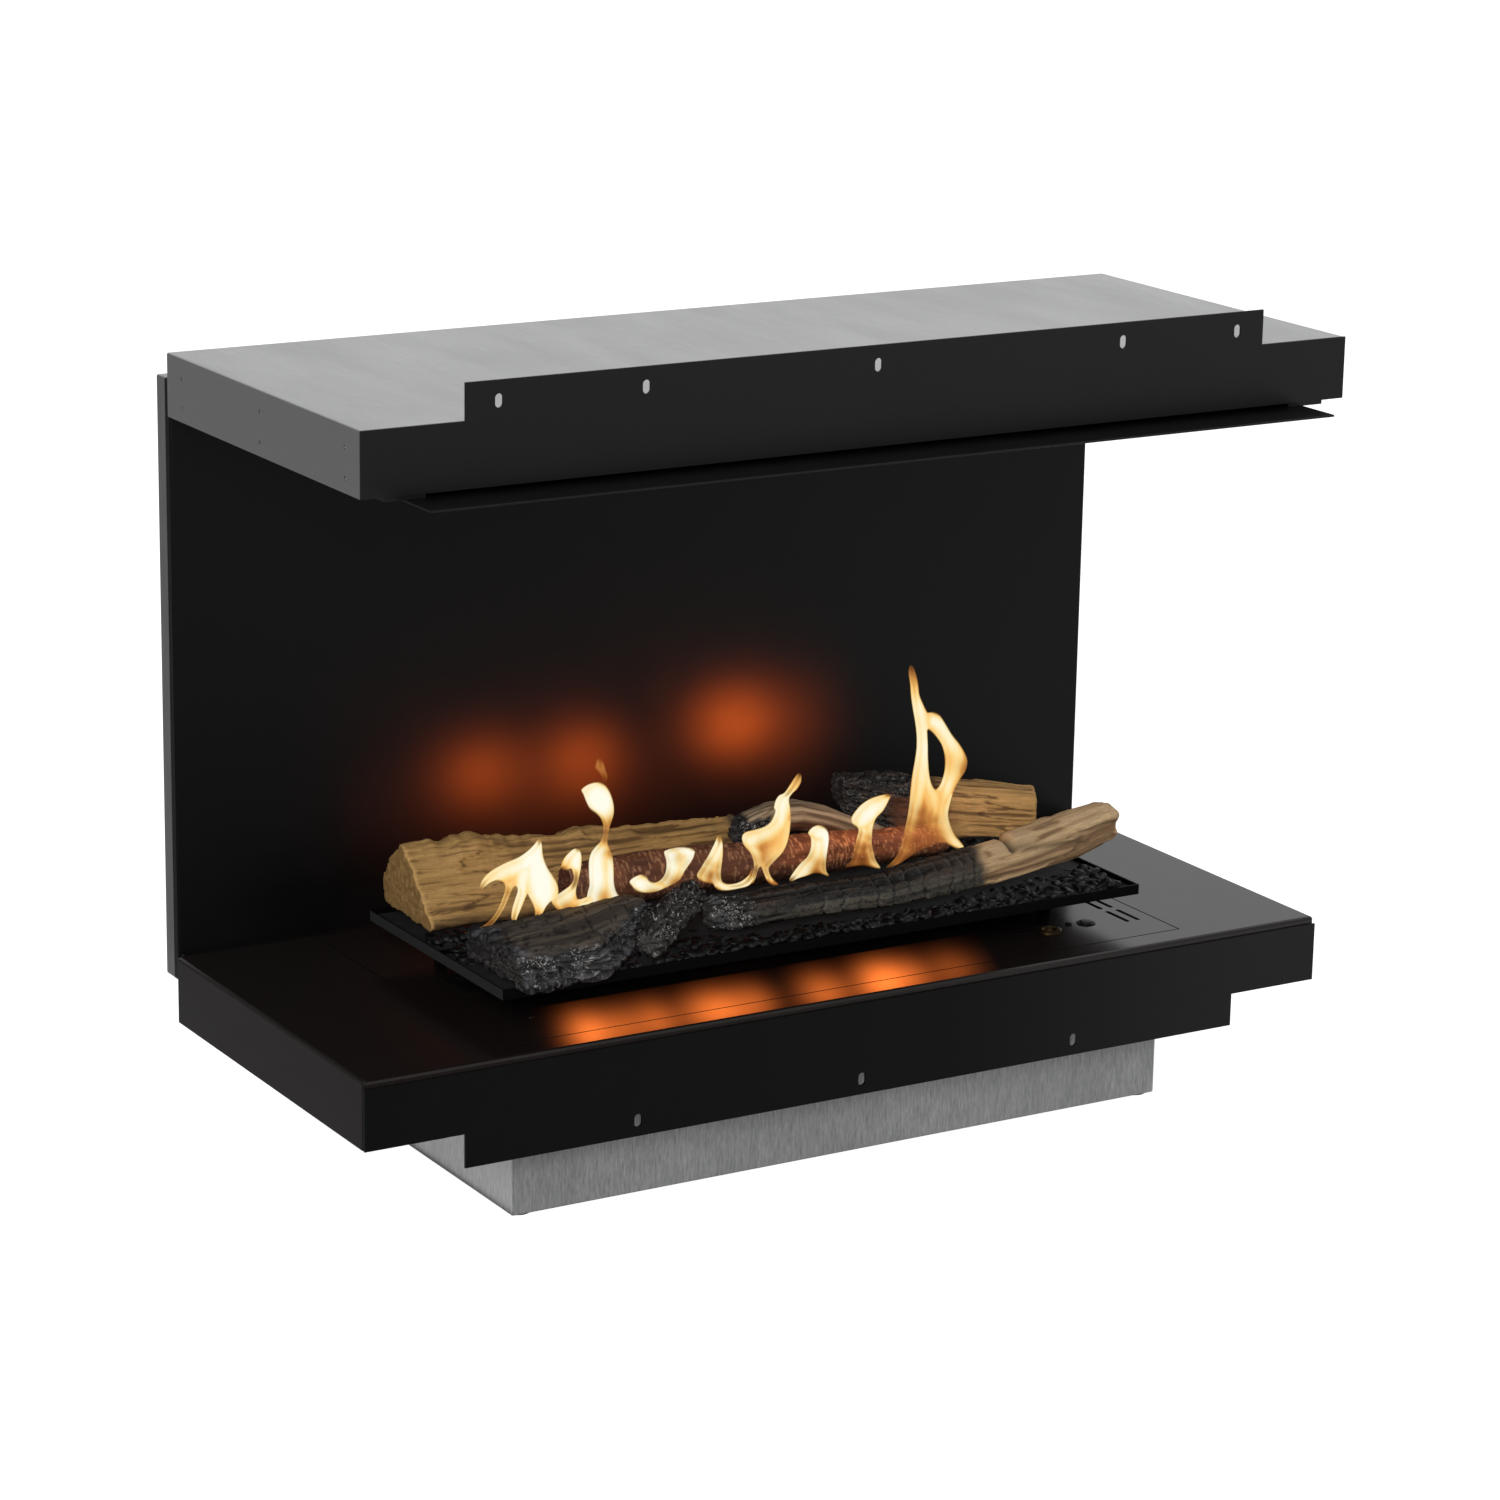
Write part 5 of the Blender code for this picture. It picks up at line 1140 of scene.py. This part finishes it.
flame("flame_small_peak", 0.0,
      L((1303, 1236), (1330, 1188), (1368, 1125), (1402, 1058), (1424, 1010), (1436, 1040), (1440, 1095), (1434, 1160),
        (1428, 1215), (1432, 1256), (1452, 1276), (1490, 1284), (1545, 1272), (1590, 1240), (1612, 1205),
        (1622, 1222), (1606, 1262), (1578, 1292), (1520, 1308), (1455, 1318), (1410, 1310), (1392, 1284),
        (1356, 1276), (1322, 1266)),
      [L((1418, 1060, 5, .55), (1395, 1120, 6, .5), (1345, 1200, 5, .45), (1325, 1245, 4, .4)),
       L((1424, 1110, 4, .4), (1412, 1200, 4, .35), (1418, 1275, 5, .5), (1470, 1300, 4, .5), (1545, 1290, 4, .5), (1595, 1250, 3, .4))],
      L((1375, 1235, 7, .65), (1385, 1180, 5, .3)), base=0.32, body=4.0, seed=11)
flame("flame_bird", 0.002,
      R((549, 679), (553, 720), (532, 760), (502, 790), (486, 818), (492, 862), (496, 920), (491, 990), (476, 1060),
        (450, 1112), (416, 1150), (386, 1180), (374, 1202), (386, 1240), (410, 1268), (428, 1288), (396, 1292),
        (370, 1270), (354, 1232), (340, 1202), (325, 1192), (312, 1216), (302, 1252), (284, 1284), (270, 1276),
        (288, 1244), (300, 1202), (296, 1160), (280, 1120), (250, 1086), (236, 1055), (236, 1025), (256, 1002),
        (300, 990), (350, 976), (386, 955), (406, 925), (418, 890), (410, 872), (420, 830), (441, 800), (470, 785),
        (500, 742), (526, 702)),
      [R((540, 700, 4, .30), (505, 760, 5, .35), (455, 820, 9, .65), (440, 880, 8, .65), (420, 950, 8, .5), (340, 1010, 9, .5), (265, 1045, 8, .55)),
       R((270, 1070, 5, .4), (305, 1130, 5, .45), (312, 1190, 4, .45), (296, 1250, 4, .5)),
       R((470, 950, 7, .35), (455, 1060, 7, .35), (400, 1140, 6, .40), (360, 1200, 4, .4), (380, 1255, 3, .4))],
      R((345, 1080, 7, .30), (350, 1150, 8, .40), (540, 700, 5, .1), (330, 1215, 5, .4)), base=0.25, seed=13)
flame("flame_thumb", 0.0,
      R((598, 1010), (624, 976), (660, 964), (690, 980), (704, 1010), (704, 1060), (696, 1110), (690, 1162), (691, 1210),
        (706, 1242), (662, 1230), (620, 1228), (580, 1242), (534, 1256), (494, 1270), (524, 1216), (560, 1172),
        (595, 1138), (613, 1090), (613, 1040)),
      [R((640, 1000, 8, .6), (675, 1010, 8, .65), (682, 1080, 7, .6), (676, 1150, 5, .5), (690, 1225, 4, .35)),
       R((640, 1060, 7, .5), (620, 1140, 6, .45), (570, 1200, 6, .5), (520, 1252, 5, .5))],
      R((650, 1175, 7, .45), (640, 1215, 8, .45)), base=0.34, seed=15)
flame("flame_leaf", 0.002,
      R((1041, 794), (1032, 830), (1002, 884), (966, 922), (950, 962), (943, 1010), (941, 1050), (948, 1096),
        (962, 1150), (990, 1198), (952, 1196), (908, 1186), (862, 1186), (800, 1192), (836, 1160), (852, 1104),
        (864, 1046), (876, 1000), (868, 978), (845, 962), (836, 930), (858, 890), (900, 845), (962, 810)),
      [R((1010, 825, 6, .45), (950, 865, 9, .65), (890, 920, 9, .65), (870, 955, 6, .5)),
       R((885, 985, 5, .45), (872, 1060, 4, .35), (852, 1130, 4, .2)),
       R((925, 960, 6, .4), (930, 1040, 5, .4), (945, 1120, 4, .45), (972, 1182, 4, .45))],
      R((902, 1090, 7, .70), (890, 1150, 10, .80), (912, 1030, 4, .35), (830, 1180, 8, .5)), base=0.30, seed=17)
flame("flame_tall", 0.003,
      R((1162, 84), (1182, 122), (1196, 180), (1203, 242), (1222, 290), (1240, 328), (1254, 344), (1282, 343), (1314, 356),
        (1346, 402), (1382, 462), (1422, 512), (1452, 562), (1467, 608), (1457, 660), (1432, 700), (1406, 744),
        (1386, 792), (1370, 850), (1361, 902), (1371, 952), (1396, 1010), (1430, 1052), (1448, 1082), (1414, 1092),
        (1370, 1072), (1330, 1060), (1260, 1080), (1190, 1110), (1130, 1150), (1080, 1180), (1024, 1196),
        (1060, 1168), (1098, 1112), (1118, 1042), (1132, 980), (1145, 918), (1155, 850), (1162, 770), (1172, 690),
        (1186, 610), (1195, 540), (1195, 470), (1187, 400), (1175, 330), (1165, 260), (1160, 190), (1152, 128)),
      [R((1165, 130, 4, .10), (1180, 240, 5, .35), (1200, 330, 7, .55), (1216, 430, 8, .60), (1222, 540, 8, .60), (1212, 650, 8, .5), (1196, 760, 6, .4), (1172, 880, 5, .40), (1150, 980, 5, .36), (1120, 1080, 4, .22), (1060, 1165, 3, .15)),
       R((1240, 620, 4, .35), (1248, 720, 6, .40), (1272, 800, 7, .40), (1280, 880, 5, .30), (1262, 970, 4, .15)),
       R((1270, 385, 8, .60), (1320, 420, 9, .65), (1370, 510, 9, .60), (1400, 580, 9, .45), (1385, 660, 7, .40), (1345, 760, 6, .45), (1320, 840, 4, .30), (1308, 940, 4, .30), (1292, 1020, 3, .15)),
       R((1365, 800, 4, .40), (1345, 880, 5, .45), (1350, 960, 6, .5), (1385, 1040, 6, .55), (1430, 1078, 4, .5))],
      R((1215, 900, 8, .45), (1210, 980, 12, .70), (1200, 1060, 16, .85), (1270, 1040, 14, .75), (1290, 940, 7, .45),
        (1135, 1140, 10, .6), (1340, 1060, 6, .5), (1440, 640, 7, .15), (1163, 110, 8, .35)),
      base=0.25, seed=19,
      holes=[R((1250, 436), (1282, 456), (1312, 492), (1336, 532), (1350, 590), (1351, 650), (1341, 702),
               (1322, 748), (1300, 766), (1276, 746), (1259, 690), (1251, 600), (1250, 520), (1247, 462))])


# ------------------------------------------------------------------ light
def area(name, place, target, width, height, power, colour=(1, 1, 1), spread=180.0):
    data = bpy.data.lights.new(name, "AREA")
    data.shape = "RECTANGLE"
    data.size, data.size_y = width, height
    data.energy = power
    data.color = colour
    data.spread = math.radians(spread)
    o = bpy.data.objects.new(name, data)
    scene.collection.objects.link(o)
    place, target = Vector(place), Vector(target)
    o.matrix_world = Matrix.Translation(place) @ (target - place).to_track_quat("-Z", "Y").to_matrix().to_4x4()
    o.visible_camera = False
    return o


def spread_out(o, spots, flip):
    """Gives an area light a pattern: spots are (x, z, half width, half height, strength), in metres
    from the light's lower left corner as the pattern is seen; flip turns it left to right."""
    data = o.data
    data.use_nodes = True
    t = data.node_tree
    emit = next(n for n in t.nodes if n.type == "EMISSION")
    place = t.nodes.new("ShaderNodeNewGeometry").outputs["Parametric"]
    parts = t.nodes.new("ShaderNodeSeparateXYZ")
    t.links.new(place, parts.inputs[0])

    def calc(op, a, b=0.0):
        n = t.nodes.new("ShaderNodeMath")
        n.operation = op
        for socket, value in zip(n.inputs, (a, b)):
            if isinstance(value, (int, float)):
                socket.default_value = value
            else:
                t.links.new(value, socket)
        return n.outputs[0]

    across = calc("MULTIPLY", calc("SUBTRACT", 1.0, parts.outputs[0]) if flip else parts.outputs[0], data.size)
    up = calc("MULTIPLY", parts.outputs[1], data.size_y)
    total = None
    for x, z, wide, tall, strength in spots:
        a = calc("DIVIDE", calc("SUBTRACT", across, x), wide)
        b = calc("DIVIDE", calc("SUBTRACT", up, z), tall)
        bell = calc("POWER", math.e, calc("MULTIPLY", calc("ADD", calc("MULTIPLY", a, a), calc("MULTIPLY", b, b)), -1.0))
        bell = calc("MULTIPLY", bell, strength)
        total = bell if total is None else calc("ADD", total, bell)
    t.links.new(total, emit.inputs["Strength"])


def panel_glow(name, x0, x1, z0, z1, y, colour, spots):
    """The flames' image on the back panel: it only shows in glossy surfaces. spots are placed by x and z."""
    w, h = x1 - x0, z1 - z0
    x, z = (x0 + x1) / 2, (z0 + z1) / 2
    o = area(name, (x, y, z), (x, y + 1.0, z), w, h, math.pi * w * h, colour)
    o.visible_diffuse = False
    spread_out(o, [(a - x0, b - z0, c, d, e) for a, b, c, d, e in spots], False)
    return o


def hearth_glow(name, x0, x1, colour, spots):
    """The flames' image on the hearth, seen under the tray: a slanted sheet of light below the
    tray's front. spots are (x, half width, strength) along it."""
    low, high = Vector((0, FRONT + 0.1120, HEARTH - 0.0015)), Vector((0, FRONT + 0.0700, HEARTH + 0.0262))
    up = high - low
    middle = (low + high) / 2 + Vector(((x0 + x1) / 2, 0, 0))
    out = Vector((0, -up.z, up.y)).normalized()
    tall = up.length
    o = area(name, middle, middle + out, x1 - x0, tall, math.pi * (x1 - x0) * tall, colour)
    o.visible_diffuse = False
    spread_out(o, [(x - x0, tall * 0.78, wide, tall * 0.42, strength) for x, wide, strength in spots], True)
    return o


ORANGE = (1.0, 0.143, 0.014)
AMBER = (1.0, 0.205, 0.033)
panel_glow("glow_panel", -0.30, 0.26, HEARTH + 0.005, HEARTH + 0.245, 0.150, ORANGE, [
    (0.1225, HEARTH + 0.1265, 0.038, 0.0295, 25.5), (-0.047, HEARTH + 0.1095, 0.036, 0.031, 14.5),
    (-0.1545, HEARTH + 0.1115, 0.039, 0.029, 12.5), (-0.085, HEARTH + 0.092, 0.140, 0.048, 2.1),
    (0.1850, HEARTH + 0.1200, 0.042, 0.040, 4.2)])
hearth_glow("glow_hearth", -0.300, 0.190, AMBER, [
    (-0.238, 0.021, 6.2), (-0.205, 0.020, 2.5), (-0.172, 0.021, 3.1), (-0.1075, 0.031, 5.6), (-0.067, 0.020, 2.1),
    (0.0045, 0.024, 3.3), (0.070, 0.025, 8.0), (0.102, 0.018, 1.8), (0.1425, 0.026, 1.5)])


def warmth(name, x, y, z, power, radius=0.02):
    """A flame's light on the logs near it."""
    data = bpy.data.lights.new(name, "POINT")
    data.energy = power
    data.color = (1.0, 0.54, 0.26)
    data.shadow_soft_size = radius
    o = bpy.data.objects.new(name, data)
    scene.collection.objects.link(o)
    o.location = (x, y, z)
    o.visible_camera = False
    o.visible_glossy = False
    return o


for k, (x, z, power) in enumerate(((-0.235, 0.085, 0.030), (-0.160, 0.090, 0.032), (-0.095, 0.085, 0.026), (-0.030, 0.085, 0.024),
                                   (0.045, 0.100, 0.070), (0.105, 0.095, 0.120), (0.170, 0.105, 0.130), (0.215, 0.110, 0.050))):
    warmth(f"warmth_{k}", x, -0.003, HEARTH + z, power * 0.30, 0.03)

area("key", (-2.4, -2.6, 1.9), (0.0, -0.05, 0.30), 1.6, 1.2, 52.0)
bounce = area("floor_bounce", (-0.450, 0.22, 0.003), (-0.450, 0.22, 1.0), 0.205, 0.78, 0.70 * math.pi * 0.205 * 0.78)
bounce.visible_diffuse = False


# ------------------------------------------------------------------ surroundings
BACK_LEFT, BACK_RIGHT = 0.122, 0.665
AHEAD_LOW_LEFT, AHEAD_LOW_RIGHT = 0.02, 0.76
AHEAD_HIGH_LEFT, AHEAD_HIGH_RIGHT = 0.30, 0.42

world = bpy.data.worlds.new("studio")
scene.world = world
world.use_nodes = True
wt = world.node_tree
wt.nodes.clear()
out = wt.nodes.new("ShaderNodeOutputWorld")
direction = wt.nodes.new("ShaderNodeTexCoord")
split = wt.nodes.new("ShaderNodeSeparateXYZ")
wt.links.new(direction.outputs["Generated"], split.inputs[0])


def ramp(value, a, b, low, high, kind="SMOOTHSTEP"):
    n = wt.nodes.new("ShaderNodeMapRange")
    n.interpolation_type = kind
    for key, v in (("From Min", a), ("From Max", b), ("To Min", low), ("To Max", high)):
        n.inputs[key].default_value = v
    wt.links.new(value, n.inputs["Value"])
    return n.outputs[0]


def between(factor, a, b):
    n = wt.nodes.new("ShaderNodeMix")
    n.data_type = "FLOAT"
    for socket, value in zip((n.inputs[0], n.inputs[2], n.inputs[3]), (factor, a, b)):
        wt.links.new(value, socket)
    return n.outputs[0]


# Behind the object it is bright at the right and dark at the left; ahead of it, dark low down at the left.
dx, dy, dz = split.outputs
behind = ramp(dx, -0.55, 0.55, BACK_LEFT, BACK_RIGHT)
ahead_low = ramp(dx, 0.46, 0.63, AHEAD_LOW_LEFT, AHEAD_LOW_RIGHT)
ahead_high = ramp(dx, -0.30, 0.45, AHEAD_HIGH_LEFT, AHEAD_HIGH_RIGHT)
ahead = between(ramp(dz, -0.28, -0.19, 0.0, 1.0), ahead_low, ahead_high)
around = between(ramp(dy, -0.30, 0.30, 0.0, 1.0), ahead, behind)
shine = wt.nodes.new("ShaderNodeBackground")
shine.inputs["Color"].default_value = (1, 1, 1, 1)
wt.links.new(around, shine.inputs["Strength"])
white = wt.nodes.new("ShaderNodeBackground")
white.inputs["Color"].default_value = (1, 1, 1, 1)
white.inputs["Strength"].default_value = 1.0
rays = wt.nodes.new("ShaderNodeLightPath")
choose = wt.nodes.new("ShaderNodeMixShader")
wt.links.new(rays.outputs["Is Camera Ray"], choose.inputs[0])
wt.links.new(shine.outputs[0], choose.inputs[1])
wt.links.new(white.outputs[0], choose.inputs[2])
wt.links.new(choose.outputs[0], out.inputs[0])

g = Graph("studio_floor")
lamp = g.node("ShaderNodeEmission")
lamp.inputs["Color"].default_value = (1, 1, 1, 1)
lamp.inputs["Strength"].default_value = 0.93
matt = g.node("ShaderNodeBsdfDiffuse")
matt.inputs["Color"].default_value = (0.80, 0.80, 0.80, 1)
both = g.node("ShaderNodeAddShader")
g.link(lamp.outputs[0], both.inputs[0])
g.link(matt.outputs[0], both.inputs[1])
rays = g.node("ShaderNodeLightPath")
pick = g.node("ShaderNodeMixShader")
g.link(rays.outputs["Is Camera Ray"], pick.inputs[0])
g.link(matt.outputs[0], pick.inputs[1])
g.link(both.outputs[0], pick.inputs[2])
g.link(pick.outputs[0], g.out.inputs[0])
floor = mesh_object("floor", [(-30, -30, 0), (30, -30, 0), (30, 30, 0), (-30, 30, 0)], [np.array([[0, 1, 2, 3]])], [g.mat], False)
floor.visible_glossy = False
